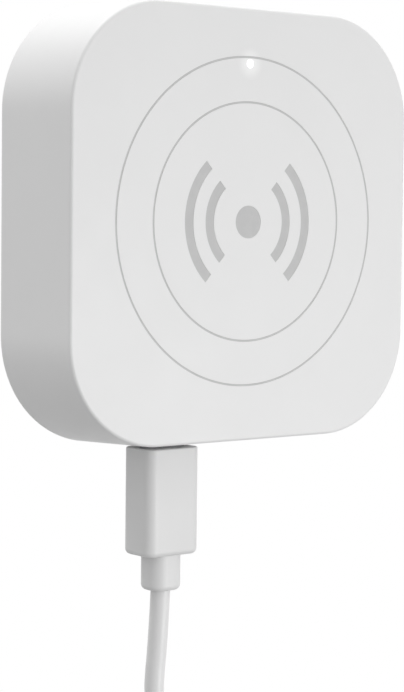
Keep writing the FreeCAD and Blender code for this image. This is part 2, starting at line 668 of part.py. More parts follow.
def add_pin_holes(body, back, depth, radius):
    """A row of holes for the header pins."""
    start = "-Size.pin_pitch * %g" % ((PIN_COUNT - 1) / 2)
    hole = new_sketch(body, "pin_hole_outline", "XZ_Plane", back, start, "-" + HEADER_DOWN)
    circle(hole, radius)
    drilled = pocket(body, "pin_hole", hole, depth, Reversed=True)
    row_of_holes = body.newObject("PartDesign::LinearPattern", "pin_holes")
    row_of_holes.Originals = [drilled]
    row_of_holes.Direction = (origin_item(body, "X_Axis"), [""])
    row_of_holes.setExpression("Length", "Size.pin_pitch * %d" % (PIN_COUNT - 1))
    row_of_holes.Occurrences = PIN_COUNT
    body.Tip = row_of_holes
    doc.recompute()


def make_board_screws():
    """Four pan-head screws with crossed slots, through the main board into the bosses."""
    screws = []
    for number, (side, level) in enumerate(CORNERS, start=1):
        x = side + BOSS_PLACE
        z = level + BOSS_PLACE
        name = "screw_%d" % number
        shank = rod(name + "_shank", "Size.screw_radius", "Size.screw_length", x, BOARD_BACK, z,
                    Vector(0, -1, 0))
        head = rod(name + "_head", "Size.head_radius", "Size.head_thick", x, BOARD_BACK, z, Vector(0, 1, 0))
        slot_back = BOARD_BACK + " - Size.head_thick"
        slots = [
            block(name + "_slot_a", "Size.cross_length", "Size.cross_depth", "Size.cross_width",
                  x, slot_back, z),
            block(name + "_slot_b", "Size.cross_width", "Size.cross_depth", "Size.cross_length",
                  x, slot_back, z),
        ]
        solid = boolean("MultiFuse", name + "_solid", [shank, head])
        cross = boolean("MultiFuse", name + "_cross", slots)
        screws.append(boolean("Cut", name, (solid, cross)))
    return boolean("Compound", "board_screws", screws)


# Radar board with its antenna patches, chip, header strip and pins


def make_radar_board():
    body = new_body("radar_board")
    board = new_sketch(body, "radar_outline", "XZ_Plane", RADAR_BACK)
    rounded_rectangle(board, "Size.radar_width", "Size.radar_height", "Size.radar_post_radius")
    pad(body, "board", board, "Size.radar_thick")
    add_pin_holes(body, RADAR_BACK, "Size.radar_thick", "Size.pin_hole_radius")
    return body


def make_antenna_patches():
    """One sending column of three patches and two receiving patches beside it."""
    places = ((-1, 1.5), (-1, 0.5), (-1, -0.5), (1, 1.5), (1, 0.5))
    patches = [
        block("patch_%d" % number, "Size.patch_width", "Size.patch_thick", "Size.patch_height",
              "%g * Size.patch_column" % across, RADAR_FRONT, "%g * Size.patch_pitch" % up)
        for number, (across, up) in enumerate(places, start=1)
    ]
    return boolean("Compound", "antenna_patches", patches)


def make_header_strip():
    body = new_body("header_strip")
    strip = new_sketch(body, "strip_outline", "XZ_Plane", BOARD_FRONT, "0", "-" + HEADER_DOWN)
    rounded_rectangle(strip, "Size.pin_pitch * %d" % PIN_COUNT, "Size.header_block", "Size.header_corner")
    pad(body, "strip", strip, "Size.header_block")
    add_pin_holes(body, BOARD_FRONT, "Size.header_block", "Size.pin_radius + Size.snug_gap")
    return body


def make_header_pins():
    length = RADAR_FRONT + " - " + BOARD_BACK + " + 2 * Size.pin_proud"
    start = BOARD_BACK + " - Size.pin_proud"
    pins = [
        rod("pin_%d" % (number + 1), "Size.pin_radius", length,
            "%g * Size.pin_pitch" % (number - (PIN_COUNT - 1) / 2), start, "-" + HEADER_DOWN,
            Vector(0, -1, 0))
        for number in range(PIN_COUNT)
    ]
    return boolean("Compound", "header_pins", pins)


# Radio module and the small parts on the main board


def make_small_parts():
    radio_x = SWITCH_FRONT + " - Size.switch_depth - Size.radio_gap - Size.radio_width / 2"
    radio_z = BOSS_PLACE + " - Size.boss_radius - Size.radio_gap - Size.radio_height / 2"
    block("radio_board", "Size.radio_width", "Size.radio_thick", "Size.radio_height",
          radio_x, BOARD_FRONT, radio_z)
    can_z = radio_z + " - Size.radio_height / 2 + Size.can_inset + Size.can_side / 2"
    can_back = BOARD_FRONT + " + Size.radio_thick"
    outside = block("can_outside", "Size.can_side", "Size.can_thick", "Size.can_side",
                    radio_x, can_back, can_z)
    inner = "Size.can_side - 2 * Size.can_wall"
    inside = block("can_inside", inner, "Size.can_thick - Size.can_wall", inner, radio_x, can_back, can_z)
    boolean("Cut", "shield_can", (outside, inside))
    left = "-(" + BOARD_HALF + " - Size.parts_inset)"
    block("regulator", "Size.regulator_width", "Size.regulator_thick", "Size.regulator_height",
          left, BOARD_FRONT, "-Size.choke_side - Size.regulator_height")
    block("choke", "Size.choke_side", "Size.choke_thick", "Size.choke_side", left, BOARD_FRONT, "0")
    capacitors = [
        block("capacitor_%d" % (number + 1), "Size.capacitor_width", "Size.capacitor_thick",
              "Size.capacitor_height", left, BOARD_FRONT,
              "Size.choke_side + %d * Size.capacitor_pitch" % number)
        for number in range(CAPACITOR_COUNT)
    ]
    boolean("Compound", "capacitors", capacitors)
    block("radar_chip", "Size.radar_chip_side", "Size.radar_chip_thick", "Size.radar_chip_side",
          "0", RADAR_FRONT, "-(" + HEADER_DOWN + " - Size.radar_chip_gap - Size.radar_chip_side / 2)")
    block("status_led", "Size.led_width", "Size.led_thick", "Size.led_height", "0", BOARD_FRONT, GUIDE_UP)


def make_light_guide():
    """Clear rod from the status light to the face, kept in by a flange behind the face."""
    forward = Vector(0, -1, 0)
    tip = rod("guide_tip", "Size.guide_radius", "Size.face_wall", "0", FACE_INSIDE, GUIDE_UP, forward)
    flange = rod("guide_flange", "Size.guide_flange_radius", "Size.guide_flange_thick", "0",
                 FACE_INSIDE + " - Size.guide_flange_thick", GUIDE_UP, forward)
    foot = "(" + BOARD_FRONT + " + Size.led_thick + Size.guide_led_gap)"
    stem = rod("guide_stem", "Size.guide_stem_radius",
               FACE_INSIDE + " - Size.guide_flange_thick - " + foot, "0", foot, GUIDE_UP, forward)
    return boolean("MultiFuse", "light_guide", [tip, flange, stem])


# Power socket, its plug and the cable's strain relief: all on one upright axis


def make_socket():
    axis_x = "-Size.port_offset"
    body = new_body("socket_shell")
    mouth = new_sketch(body, "mouth_outline", "XY_Plane", "-" + SOCKET_MOUTH, axis_x, "-" + PORT_AXIS)
    rounded_rectangle(mouth, "Size.socket_width", "Size.socket_thick", "Size.socket_thick * Size.flat_end")
    pad(body, "tube", mouth, "Size.socket_length")
    bore = new_sketch(body, "bore_outline", "XY_Plane", "-" + SOCKET_MOUTH, axis_x, "-" + PORT_AXIS)
    inner_width = "(Size.socket_width - 2 * Size.socket_metal)"
    inner_thick = "(Size.socket_thick - 2 * Size.socket_metal)"
    rounded_rectangle(bore, inner_width, inner_thick, inner_thick + " * Size.flat_end")
    pocket(body, "bore", bore, "Size.socket_length", Reversed=True)

    inner = new_body("socket_tongue")
    closed_end = "(" + SOCKET_MOUTH + " - Size.socket_length)"
    base = new_sketch(inner, "base_outline", "XY_Plane", "-" + closed_end, axis_x, "-" + PORT_AXIS)
    base_thick = "(" + inner_thick + " - 2 * Size.snug_gap)"
    rounded_rectangle(base, inner_width + " - 2 * Size.snug_gap", base_thick,
                      base_thick + " * Size.flat_end")
    pad(inner, "base", base, "Size.socket_base", Reversed=True)
    tongue = new_sketch(inner, "tongue_outline", "XY_Plane", "-" + closed_end, axis_x, "-" + PORT_AXIS)
    rounded_rectangle(tongue, "Size.tongue_width", "Size.tongue_thick", "Size.tongue_corner")
    pad(inner, "tongue", tongue, "Size.socket_base + Size.tongue_length", Reversed=True)


def make_plug():
    axis_x = "-Size.port_offset"
    metal = new_body("plug_shell")
    ring = new_sketch(metal, "metal_outline", "XY_Plane", "-" + GRIP_TOP, axis_x, "-" + PORT_AXIS)
    rounded_rectangle(ring, PLUG_METAL_WIDTH, PLUG_METAL_THICK, PLUG_METAL_THICK + " * Size.flat_end")
    inner_thick = "(" + PLUG_METAL_THICK + " - 2 * Size.plug_metal_wall)"
    pad(metal, "tube", ring, "Size.plug_metal_length")
    bore = new_sketch(metal, "bore_outline", "XY_Plane", "-" + GRIP_TOP, axis_x, "-" + PORT_AXIS)
    rounded_rectangle(bore, PLUG_METAL_WIDTH + " - 2 * Size.plug_metal_wall", inner_thick,
                      inner_thick + " * Size.flat_end")
    pocket(metal, "bore", bore, "Size.plug_metal_length", Reversed=True)

    grip = new_body("plug_grip")
    top = new_sketch(grip, "grip_outline", "XY_Plane", "-" + GRIP_TOP, axis_x, "-" + PORT_AXIS)
    rounded_rectangle(top, "Size.plug_width", "Size.plug_thick", "Size.plug_corner")
    pad(grip, "grip", top, "Size.plug_length", Reversed=True)
    for name, end, radius in (("top_rounding", -size(GRIP_TOP), "Size.plug_top_round"),
                              ("end_rounding", -size(GRIP_END), "Size.plug_round")):
        names = edges_where(grip.Tip, lambda middle, edge: abs(middle.z - end) < SAME_PLACE)
        grip.Tip = fillet(grip, name, grip.Tip, names, radius)

    relief = new_body("strain_relief")
    collar = new_sketch(relief, "collar_outline", "XY_Plane", "-" + GRIP_END, axis_x, "-" + PORT_AXIS)
    rounded_rectangle(collar, "Size.collar_width", "Size.collar_thick", "Size.collar_corner")
    moulded = pad(relief, "collar", collar, "Size.collar_length", Reversed=True)
    end = -size(COLLAR_END)
    names = edges_where(moulded, lambda middle, edge: abs(middle.z - end) < SAME_PLACE)
    relief.Tip = fillet(relief, "collar_rounding", moulded, names, "Size.plug_round")


# Pairing switch on the board's edge, and the button that presses its plunger


def make_pairing_button():
    outward = Vector(1, 0, 0)
    body = block("switch_block", "Size.switch_depth", "Size.socket_thick", "Size.switch_width",
                 SWITCH_FRONT + " - Size.switch_depth / 2", BOARD_FRONT, "0")
    bore = rod("switch_bore", "Size.plunger_radius + Size.plunger_gap", "Size.plunger_bore",
               SWITCH_FRONT + " - Size.plunger_bore", PORT_AXIS, "0", outward)
    boolean("Cut", "switch_body", (body, bore))
    rod("switch_plunger", "Size.plunger_radius", "Size.plunger_length + Size.plunger_inside",
        SWITCH_FRONT + " - Size.plunger_inside", PORT_AXIS, "0", outward)

    button = new_body("pairing_button")
    profile = new_sketch(button, "button_profile", "XZ_Plane", PORT_AXIS)
    outside = "(" + HALF_AT_PORT + " - Size.button_gap / 2)"
    round_edge = "Size.button_round"
    outline(profile, (
        (PLUNGER_TIP, "0"),
        (PLUNGER_TIP, "Size.stem_radius"),
        (FLANGE_OUTSIDE + " - Size.button_flange_thick", "Size.stem_radius"),
        (FLANGE_OUTSIDE + " - Size.button_flange_thick", "Size.button_flange_radius"),
        (FLANGE_OUTSIDE, "Size.button_flange_radius"),
        (FLANGE_OUTSIDE, "Size.button_radius"),
        (outside + " - " + round_edge, "Size.button_radius"),
        (outside, "Size.button_radius - " + round_edge),
        (outside, "0"),
    ))
    turned = button.newObject("PartDesign::Revolution", "turned")
    turned.Profile = profile
    turned.ReferenceAxis = (profile, ["H_Axis"])
    turned.Angle = 360
    doc.recompute()


# Cable: a tube down from the strain relief, the tied coil and the loose end with the supply plug


def cord_start():
    """Where the cable leaves the strain relief."""
    return Vector(-size("Size.port_offset"), -size(PORT_AXIS), -size(COLLAR_END))


def smooth_path(points):
    """Straight runs joined by tangent arcs, each as large as its two runs allow."""
    edges = []
    start = points[0]
    for before, corner, after in zip(points, points[1:], points[2:]):
        into = (corner - before).normalize()
        out = (after - corner).normalize()
        turn = into.getAngle(out)
        setback = ARC_SHARE * min((corner - before).Length, (after - corner).Length)
        arc_start = corner - into * setback
        arc_end = corner + out * setback
        inward = (out - into).normalize()
        radius = setback / math.tan(turn / 2)
        print("bend radius %.1f" % radius)
        to_centre = radius / math.cos(turn / 2)
        middle = corner + inward * (to_centre - radius)
        edges.append(Part.LineSegment(start, arc_start).toShape())
        edges.append(Part.Arc(arc_start, middle, arc_end).toShape())
        start = arc_end
    edges.append(Part.LineSegment(start, points[-1]).toShape())
    return Part.Wire(edges)


def cord_tube(label, points):
    """A round tube along the smooth path through the points."""
    path = smooth_path(points)
    radius = size("Size.cord_diameter / 2")
    direction = points[1] - points[0]
    section = Part.Wire(Part.Circle(points[0], direction, radius).toShape())
    tube = path.makePipeShell([section], True, False)
    expected = math.pi * radius ** 2 * path.Length
    print("%s: length %.1f, volume against section times length %.4f"
          % (label, path.Length, tube.Volume / expected))
    item = doc.addObject("Part::Feature", label)
    item.Label = label
    item.Shape = tube
    return item


def make_cord():
    start = cord_start()
    cord_tube("cord", [start + Vector(*point) for point in CORD_ROUTE])
    centre = start + Vector(*COIL_CENTRE)
    cord_tube("cord_tail", [centre + Vector(*point) for point in TAIL_ROUTE])

    sweep = size("Size.tie_width / Size.coil_radius")
    add_ring("cord_coil", coil_section(COIL_SECTION), 2 * math.pi, centre)
    inside = COIL_SECTION + " + Size.tie_gap"
    band = coil_section(inside + " + Size.tie_thick").cut(coil_section(inside))
    add_ring("cord_tie", band, sweep, centre)


def coil_section(radius):
    """A many-sided face with the size of the coil's bundle, at the middle of the turns."""
    step = 2 * math.pi / COIL_SIDES
    reach = size(radius)
    corners = [Vector(reach * math.cos(step * (number + 0.5)), reach * math.sin(step * (number + 0.5)), 0)
               for number in range(COIL_SIDES)]
    face = Part.Face(Part.makePolygon(corners + corners[:1]))
    face.translate(Vector(size("Size.coil_radius"), 0, 0))
    return face


def add_ring(label, section, sweep, centre):
    """The section swept about the coil's axis by an angle, half to each side of the tie's place."""
    axis = Vector(0, 1, 0)
    half = math.degrees(sweep) / 2
    section.rotate(Vector(), axis, -TIE_UP - half)
    item = doc.addObject("Part::Feature", label)
    item.Label = label
    item.Shape = section.revolve(Vector(), axis, 2 * half)
    item.Placement = Placement(centre, Rotation())


def make_supply_plug():
    """Relief, grip, metal shell, insert and contacts, hanging at the end of the cable."""
    end = cord_start() + Vector(*COIL_CENTRE) + Vector(*TAIL_ROUTE[-1])
    turned = Rotation(Vector(0, 0, 1), 90)

    def hanging(label, outline_width, outline_thick, corner, top, length, hollow=None):
        body = new_body(label)
        section = new_sketch(body, label + "_outline", "XY_Plane", "-(" + top + ")")
        rounded_rectangle(section, outline_width, outline_thick, corner)
        pad(body, label + "_solid", section, length, Reversed=True)
        if hollow:
            bore = new_sketch(body, label + "_bore_outline", "XY_Plane", "-(" + top + ")")
            inner_width = outline_width + " - 2 * " + hollow
            inner_thick = outline_thick + " - 2 * " + hollow
            rounded_rectangle(bore, inner_width, inner_thick, corner + " / 2")
            pocket(body, label + "_bore", bore, length)
        body.Placement = Placement(end, turned)
        return body

    relief = doc.addObject("Part::Cylinder", "supply_relief")
    relief.setExpression("Radius", "Size.supply_relief_radius")
    relief.setExpression("Height", "Size.supply_relief_length")
    relief.Placement = Placement(end, Rotation(Vector(0, 0, 1), Vector(0, 0, -1)))
    grip = hanging("supply_grip", "Size.supply_width", "Size.supply_thick", "Size.supply_corner",
                   "Size.supply_relief_length", "Size.supply_length")
    moulded = grip.Tip
    names = edges_where(moulded, lambda middle, edge: edge.Length > 0 and abs(
        edge.Vertexes[0].Point.z - edge.Vertexes[-1].Point.z) < SAME_PLACE)
    grip.Tip = fillet(grip, "supply_rounding", moulded, names, "Size.plug_round")
    below = "Size.supply_relief_length + Size.supply_length"
    wall = "Size.supply_metal_wall"
    metal = hanging("supply_shell", "Size.supply_metal_width", "Size.supply_metal_thick", "2 * " + wall,
                    below, "Size.supply_metal_length", wall)
    half = "Size.supply_window / 2"
    for name, sign in (("left", "-"), ("right", "")):
        window = new_sketch(metal, "window_outline_" + name, "XZ_Plane", "Size.supply_metal_thick",
                            sign + "Size.supply_window_gap", "-(" + below + " + Size.supply_window_place)")
        outline(window, (("-" + half, "-" + half), (half, "-" + half), (half, half), ("-" + half, half)))
        pocket(metal, "window_" + name, window, "2 * Size.supply_metal_thick")
    inside = "Size.supply_metal_width - 2 * " + wall + " - 2 * Size.snug_gap"
    insert = hanging("supply_insert", inside, "Size.supply_insert_thick", wall, below,
                     "Size.supply_metal_length - " + wall)
    shift = size("(Size.supply_metal_thick - Size.supply_insert_thick) / 2 - Size.supply_metal_wall")
    insert.Placement = Placement(end + Vector(-shift, 0, 0), turned)
    contacts = []
    face = size("Size.supply_metal_thick / 2 - Size.supply_metal_wall - Size.supply_insert_thick")
    width = size("Size.supply_contact_width")
    length = size("Size.supply_contact_length")
    lowest = size(below + " + Size.supply_metal_length - 2 * Size.supply_metal_wall")
    for number in range(CONTACT_COUNT):
        across = (number - (CONTACT_COUNT - 1) / 2) * size("Size.supply_contact_pitch")
        corner = end + Vector(-face, across - width / 2, -lowest)
        contacts.append(Part.makeBox(size("Size.supply_contact_thick"), width, length, corner))
    item = doc.addObject("Part::Feature", "supply_contacts")
    item.Label = "supply_contacts"
    item.Shape = Part.Compound(contacts)


make_front_housing()
make_rear_cover()
make_adhesive_pad()
make_main_board()
make_board_screws()
make_radar_board()
make_antenna_patches()
make_header_strip()
make_header_pins()
make_small_parts()
make_light_guide()
make_socket()
make_plug()
make_pairing_button()
make_cord()
make_supply_plug()
doc.recompute()

# One file for each sub-part, named after its label
NODES = (
    "front_housing", "rear_cover", "adhesive_pad", "light_guide", "main_board", "board_screws",
    "radar_board", "antenna_patches", "radar_chip", "header_strip", "header_pins", "radio_board",
    "shield_can", "status_led", "regulator", "choke", "capacitors", "socket_shell", "socket_tongue",
    "switch_body", "switch_plunger", "pairing_button", "plug_shell", "plug_grip", "strain_relief",
    "cord", "cord_coil", "cord_tail", "cord_tie", "supply_relief", "supply_grip", "supply_shell",
    "supply_insert", "supply_contacts",
)
for item in doc.Objects:
    for problem in ("Invalid", "Error"):
        if problem in item.State:
            raise RuntimeError("%s is %s" % (item.Label, problem))
os.makedirs("parts", exist_ok=True)
for label in NODES:
    shape = doc.getObjectsByLabel(label)[0].Shape
    if shape.isNull() or not shape.isValid():
        raise RuntimeError("%s has no valid shape" % label)
    shape.exportStep("parts/%s.step" % label)
    print("%-16s solids %d volume %.1f" % (label, len(shape.Solids), shape.Volume))
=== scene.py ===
# Looks of a square radar presence sensor: case, light, rear cover, button, plug, cable and stage.
# Everything is in metres in the row frame: +X to the right seen from the front, +Y into the wall, +Z up.

import math

import bmesh
import bpy
from bpy.props import FloatProperty, FloatVectorProperty, IntProperty, PointerProperty
from mathutils import Matrix, Vector


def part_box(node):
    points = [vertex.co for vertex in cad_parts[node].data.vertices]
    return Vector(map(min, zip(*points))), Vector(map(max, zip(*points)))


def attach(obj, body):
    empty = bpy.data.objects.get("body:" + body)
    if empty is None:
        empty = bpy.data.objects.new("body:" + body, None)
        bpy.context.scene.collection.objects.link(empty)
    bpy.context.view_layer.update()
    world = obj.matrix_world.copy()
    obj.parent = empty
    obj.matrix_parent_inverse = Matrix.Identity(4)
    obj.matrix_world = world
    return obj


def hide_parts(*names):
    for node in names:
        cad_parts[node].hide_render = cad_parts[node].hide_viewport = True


bl_info = {
    "name": "Radar presence sensor",
    "version": (1, 0, 0),
    "blender": (4, 5, 0),
    "location": "3D View > Sidebar > Presence Sensor",
    "description": "Dresses the packed radar presence sensor and sets its stage",
    "category": "Object",
}

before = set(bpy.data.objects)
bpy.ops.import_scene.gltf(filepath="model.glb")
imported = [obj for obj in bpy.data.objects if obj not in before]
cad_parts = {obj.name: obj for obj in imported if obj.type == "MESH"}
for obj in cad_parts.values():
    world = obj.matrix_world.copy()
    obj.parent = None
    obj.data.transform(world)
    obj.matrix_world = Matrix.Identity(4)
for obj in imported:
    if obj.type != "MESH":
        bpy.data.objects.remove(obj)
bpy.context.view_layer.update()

CASE_BODY = "case"
BUTTON_BODY = "button"
MILLIMETRE = 0.001
# Turn between two faces from which their edge is drawn sharp
SHARP_ANGLE = math.radians(32)
# Distances under which two corners count as one, after a cut or a join and at a turned solid's poles
WELD_DISTANCE = 0.0001 * MILLIMETRE
POLE_DISTANCE = 0.001 * MILLIMETRE
# Distance under which two levels count as one
SAME_LEVEL = 0.01 * MILLIMETRE
# Turn, in radians, under which two directions count as one
SAME_TURN = 0.001
# Least share of an upright edge's length that runs along Z
UPRIGHT_SHARE = 0.999
WHITE = (1.0, 1.0, 1.0, 1.0)


def middle(node):
    """Middle of a CAD node's box."""
    low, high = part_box(node)
    return (low + high) / 2


def extent(node):
    """Size of a CAD node's box."""
    low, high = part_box(node)
    return high - low


# Depths in front of the wall, and places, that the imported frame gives
RIM = -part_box("front_housing")[1].y
FACE = -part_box("front_housing")[0].y
RADAR_FRONT = -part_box("radar_board")[0].y
BOARD_FRONT = -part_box("main_board")[0].y
PORT = middle("plug_grip")
LIGHT = middle("light_guide")
CORD_START = Vector((PORT.x, PORT.y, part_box("strain_relief")[0].z))

# The cable's chosen points, from the end of the strain relief
CORD_ROUTE = (
    (0.0, 0.0, 0.0),
    (-0.0004, 0.0, -0.0085),
    (-0.0014, 0.0001, -0.0180),
    (0.0014, 0.0001, -0.0258),
    (0.0073, 0.0, -0.0312),
)
# The loose end's chosen points, from the coil's centre
TAIL_ROUTE = (
    (0.0226, -0.0023, -0.0052),
    (0.0236, -0.0015, -0.0102),
    (0.0238, -0.0013, -0.0154),
)
COIL_CENTRE = CORD_START + Vector((0.0029, 0.0, -0.0549))


# Properties


def length(name, description, value):
    """A length in metres that a user can change."""
    return FloatProperty(name=name, description=description, default=value, unit="LENGTH", precision=5)


def angle(name, description, degrees):
    """An angle that a user can change."""
    return FloatProperty(name=name, description=description, default=math.radians(degrees), unit="ROTATION")


def amount(name, description, value):
    """A plain number between nothing and a hundred."""
    return FloatProperty(name=name, description=description, default=value, min=0.0, max=100.0)


def position(name, description, value):
    """A place in metres that a user can change."""
    return FloatVectorProperty(name=name, description=description, default=value, subtype="TRANSLATION",
                               size=3, precision=5)


def colour(name, description, value):
    """A linear colour."""
    return FloatVectorProperty(name=name, description=description, default=value, subtype="COLOR",
                               size=3, min=0.0, max=1.0)


class CaseSizes(bpy.types.PropertyGroup):
    """Sizes and colours of the case, its face and its rear cover."""

    side_back: length("Rear side", "Side of the case at its rear rim", extent("front_housing").x)
    side_front: length("Front side", "Side of the case at its face", 0.0685)
    corner: length("Corner", "Corner radius at the rear rim", 0.0176)
    face_round: length("Face edge", "Rounding between the face and the side walls", 0.0005)
    rim_round: length("Rim edge", "Rounding of the rear rim's outer edge", 0.0002)
    wall: length("Wall", "Thickness of the side walls and of the face", 0.0018)
    step: length("Step", "Width of the step that the rear cover sits on", 0.0009)
    cover_thick: length("Cover", "Thickness of the rear cover", 0.0016)
    cover_gap: length("Cover gap", "Gap around the rear cover", 0.00012)
    ring_up: length("Circles up", "Height of the circles' centre", 0.0006)
    ring_outer: length("Outer circle", "Radius of the outer circle", 0.026)
    ring_inner: length("Inner circle", "Radius of the inner circle", 0.0189)
    ring_line: length("Line", "Width of the circles' lines", 0.00035)
    mark_dot: length("Mark's dot", "Radius of the dot in the middle of the mark", 0.0026)
    mark_near: length("Near arcs", "Inner radius of the near pair of arcs", 0.007)
    mark_far: length("Far arcs", "Inner radius of the far pair of arcs", 0.0111)
    mark_line: length("Arcs' width", "Width of the arcs", 0.0017)
    mark_open: angle("Arcs' opening", "Half the angle that each arc covers", 48.0)
    print_sink: length("Print depth", "How far the lines lie under the face", 0.00006)
    boss_radius: length("Boss", "Radius of a screw boss", 0.0028)
    rib: length("Rib", "Thickness of a boss's ribs", 0.001)
    rib_reach: length("Rib's reach", "How far a rib reaches from the boss's axis", 0.004)
    rib_height: length("Rib's height", "Height of a rib above the face's inside", 0.005)
    pilot_radius: length("Pilot", "Radius of the hole in a boss", 0.00085)
    pilot_depth: length("Pilot's depth", "Depth of the hole in a boss", 0.006)
    screw_head: length("Screw head", "Radius of a board screw's head", 0.0019)
    post_radius: length("Post", "Radius of a radar board post", 0.0015)
    post_inset: length("Post's place", "Distance of a post from the radar board's edges", 0.0024)
    port_gap: length("Port gap", "Gap around the socket in the bottom wall", 0.0002)
    hook_offset: length("Hook place", "Distance of each hook from the middle of its side", 0.013)
    hook_width: length("Hook", "Width of a snap hook", 0.006)
    hook_thick: length("Hook's arm", "Thickness of a hook's arm", 0.0013)
    hook_reach: length("Hook's reach", "Length of a hook in front of the cover", 0.0036)
    hook_bead: length("Bead", "How far a hook's bead stands out", 0.0006)
    hook_bead_length: length("Bead's length", "Length of a hook's bead", 0.0012)
    hook_play: length("Hook's play", "Play between a hook and the housing", 0.0002)
    cover_round: length("Cover edge", "Rounding of the rear cover's edges", 0.00025)
    pad_corner: length("Pad's corner", "Corner radius of the adhesive pad", 0.012)
    plastic: colour("Plastic", "Colour of the case", (0.84, 0.84, 0.84))
    print_grey: colour("Print", "Colour of the circles and the mark", (0.56, 0.56, 0.56))
    cover_white: colour("Cover", "Colour of the rear cover", (0.80, 0.80, 0.79))
    foam: colour("Foam", "Colour of the adhesive pad", (0.66, 0.66, 0.64))


class LightSizes(bpy.types.PropertyGroup):
    """Sizes and strength of the status light."""

    tip: length("Tip", "Radius of the light guide's tip", 0.00065)
    tip_gap: length("Tip gap", "Gap around the tip", 0.00003)
    dome: length("Dome", "Height of the tip's dome", 0.00012)
    rod: length("Rod", "Radius of the light guide's rod", 0.0011)
    flange: length("Flange", "Radius of the flange behind the face", 0.0020)
    flange_thick: length("Flange thickness", "Thickness of the flange", 0.0008)
    glow: amount("Glow", "Strength of the lit tip", 1.3)
    halo: amount("Halo", "Strength of the light in the plastic around the tip", 0.13)
    halo_reach: length("Halo's reach", "Radius of the light in the plastic", 0.0027)


class PlugSizes(bpy.types.PropertyGroup):
    """Sizes and colours of the plug, the pairing button and the supply plug."""

    grip_corner: length("Grip corner", "Rounding of the grip's long edges", 0.0016)
    top_round: length("Top rounding", "Rounding of the grip's edges next to the case", 0.00025)
    end_round: length("End rounding", "Rounding of a grip's other end edges", 0.0009)
    collar_corner: length("Collar corner", "Rounding of the strain relief's long edges", 0.0022)
    supply_corner: length("Supply corner", "Rounding of the supply grip's long edges", 0.0018)
    metal_wall: length("Metal", "Thickness of the supply plug's metal shell", 0.0003)
    window: length("Window", "Side of the square windows in the metal shell", 0.0022)
    window_gap: length("Window gap", "Distance of the windows from the middle", 0.0029)
    window_place: length("Window place", "Distance of the windows from the grip", 0.01085)
    neck_wall: length("Neck's wall", "Wall of the supply plug's relief at its narrow end", 0.00045)
    neck_edge: length("Neck's edge", "Slope of the relief's edge at its narrow end", 0.0003)
    foot_edge: length("Foot's edge", "Height of the relief's upright edge at its wide end", 0.0002)
    button_radius: length("Button", "Radius of the button's cap", 0.0025)
    button_gap: length("Button gap", "Gap around the button's cap", 0.00025)
    button_round: length("Button edge", "Rounding of the cap's edge", 0.0004)
    button_dish: length("Button dish", "How far the cap's end is hollowed", 0.00025)
    button_flange: length("Flange", "Radius of the button's flange", 0.0034)
    button_play: length("Button's play", "Play between the button's flange and the wall", 0.00015)
    button_stem: length("Stem", "Radius of the button's stem", 0.0011)
    flange_thick: length("Flange thickness", "Thickness of the button's flange", 0.0008)
    grip_white: colour("Grip", "Colour of the moulded grips", (0.77, 0.77, 0.77))


class CordSizes(bpy.types.PropertyGroup):
    """Sizes and colours of the cable, its coil and the tie."""

    diameter: length("Diameter", "Diameter of the cable", 0.0032)
    real_length: length("Length", "Whole length of the cable", 1.0)
    coil_radius: length("Coil", "Radius of the coil at the middle of its turns", 0.018)
    bundle: length("Bundle", "Radius of the circle that the turns lie on in the coil's section", 0.00478)
    enter: angle("Enters", "Where the cable enters the coil, clockwise from its top", 30.0)
    wound: angle("Wound", "Angle that the cable is wound through", 8 * 360.0 + 60.0)
    shift: angle("Shift", "Angle in the section from one turn to the next", 40.0)
    turn_points: IntProperty(name="Points", description="Points in each turn", default=24, min=12, max=60)
    tie_up: angle("Tie's place", "Direction of the tie above the coil's right", 35.0)
    tie_width: length("Tie", "Width of the tie", 0.007)
    tie_thick: length("Tie thickness", "Thickness of the tie", 0.0008)
    tie_gap: length("Tie gap", "Gap between the tie and the coil", 0.0001)
    jacket: colour("Jacket", "Colour of the cable", (0.80, 0.80, 0.80))
    tie_grey: colour("Tie", "Colour of the tie", (0.42, 0.43, 0.44))


class StageSettings(bpy.types.PropertyGroup):
    """Camera, floor and light."""

    eye: position("Camera", "Place of the camera", (-0.20588, -0.26480, 0.00193))
    yaw: angle("Yaw", "Turn of the camera to the right of +Y", 38.62)
    pitch: angle("Pitch", "How far the camera looks up", -3.77)
    roll: angle("Roll", "Turn of the camera about its line of sight", 0.67)
    lens: FloatProperty(name="Lens", description="Focal length in millimetres", default=104.9)
    floor_down: length("Floor", "How far the floor lies under the row frame's origin", 0.300)
    floor_side: length("Floor's side", "Side of the floor", 6.0)
    fade_start: length("Fade from", "Distance at which the floor starts to turn white", 0.32)
    fade_end: length("Fade to", "Distance at which the floor is white", 0.48)
    floor_grey: colour("Floor", "Colour of the floor near the part", (0.78, 0.78, 0.78))
    bounce: amount("Bounce", "Share of the light that the floor sends back up", 0.40)
    room: amount("Room light", "Light from all round", 0.735)
    key: amount("Key light", "Power of the soft light in front", 1.33)
    key_side: length("Key's side", "Side of the soft light in front", 0.3)
    key_place: position("Key's place", "Place of the soft light in front", (0.24, -0.55, -0.14))
    key_aim: position("Key's aim", "Where the soft light in front points", (0.0, 0.0, -0.02))
    top: amount("Top light", "Power of the soft light above and behind", 3.8)
    top_side: length("Top's side", "Side of the soft light above", 0.5)
    top_place: position("Top's place", "Place of the soft light above", (-0.14, 0.30, 0.80))
    top_aim: position("Top's aim", "Where the soft light above points", (0.0, 0.0, 0.0))


# Helpers for meshes


def new_piece(name, bm, materials, body=CASE_BODY, replaces=()):
    """Turns a bmesh into a piece that rides on a body."""
    mesh = bpy.data.meshes.new(name)
    bm.to_mesh(mesh)
    bm.free()
    piece = bpy.data.objects.new(name, mesh)
    bpy.context.scene.collection.objects.link(piece)
    for item in materials:
        mesh.materials.append(item)
    shade(piece)
    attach(piece, body)
    if replaces:
        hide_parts(*replaces)
    return piece


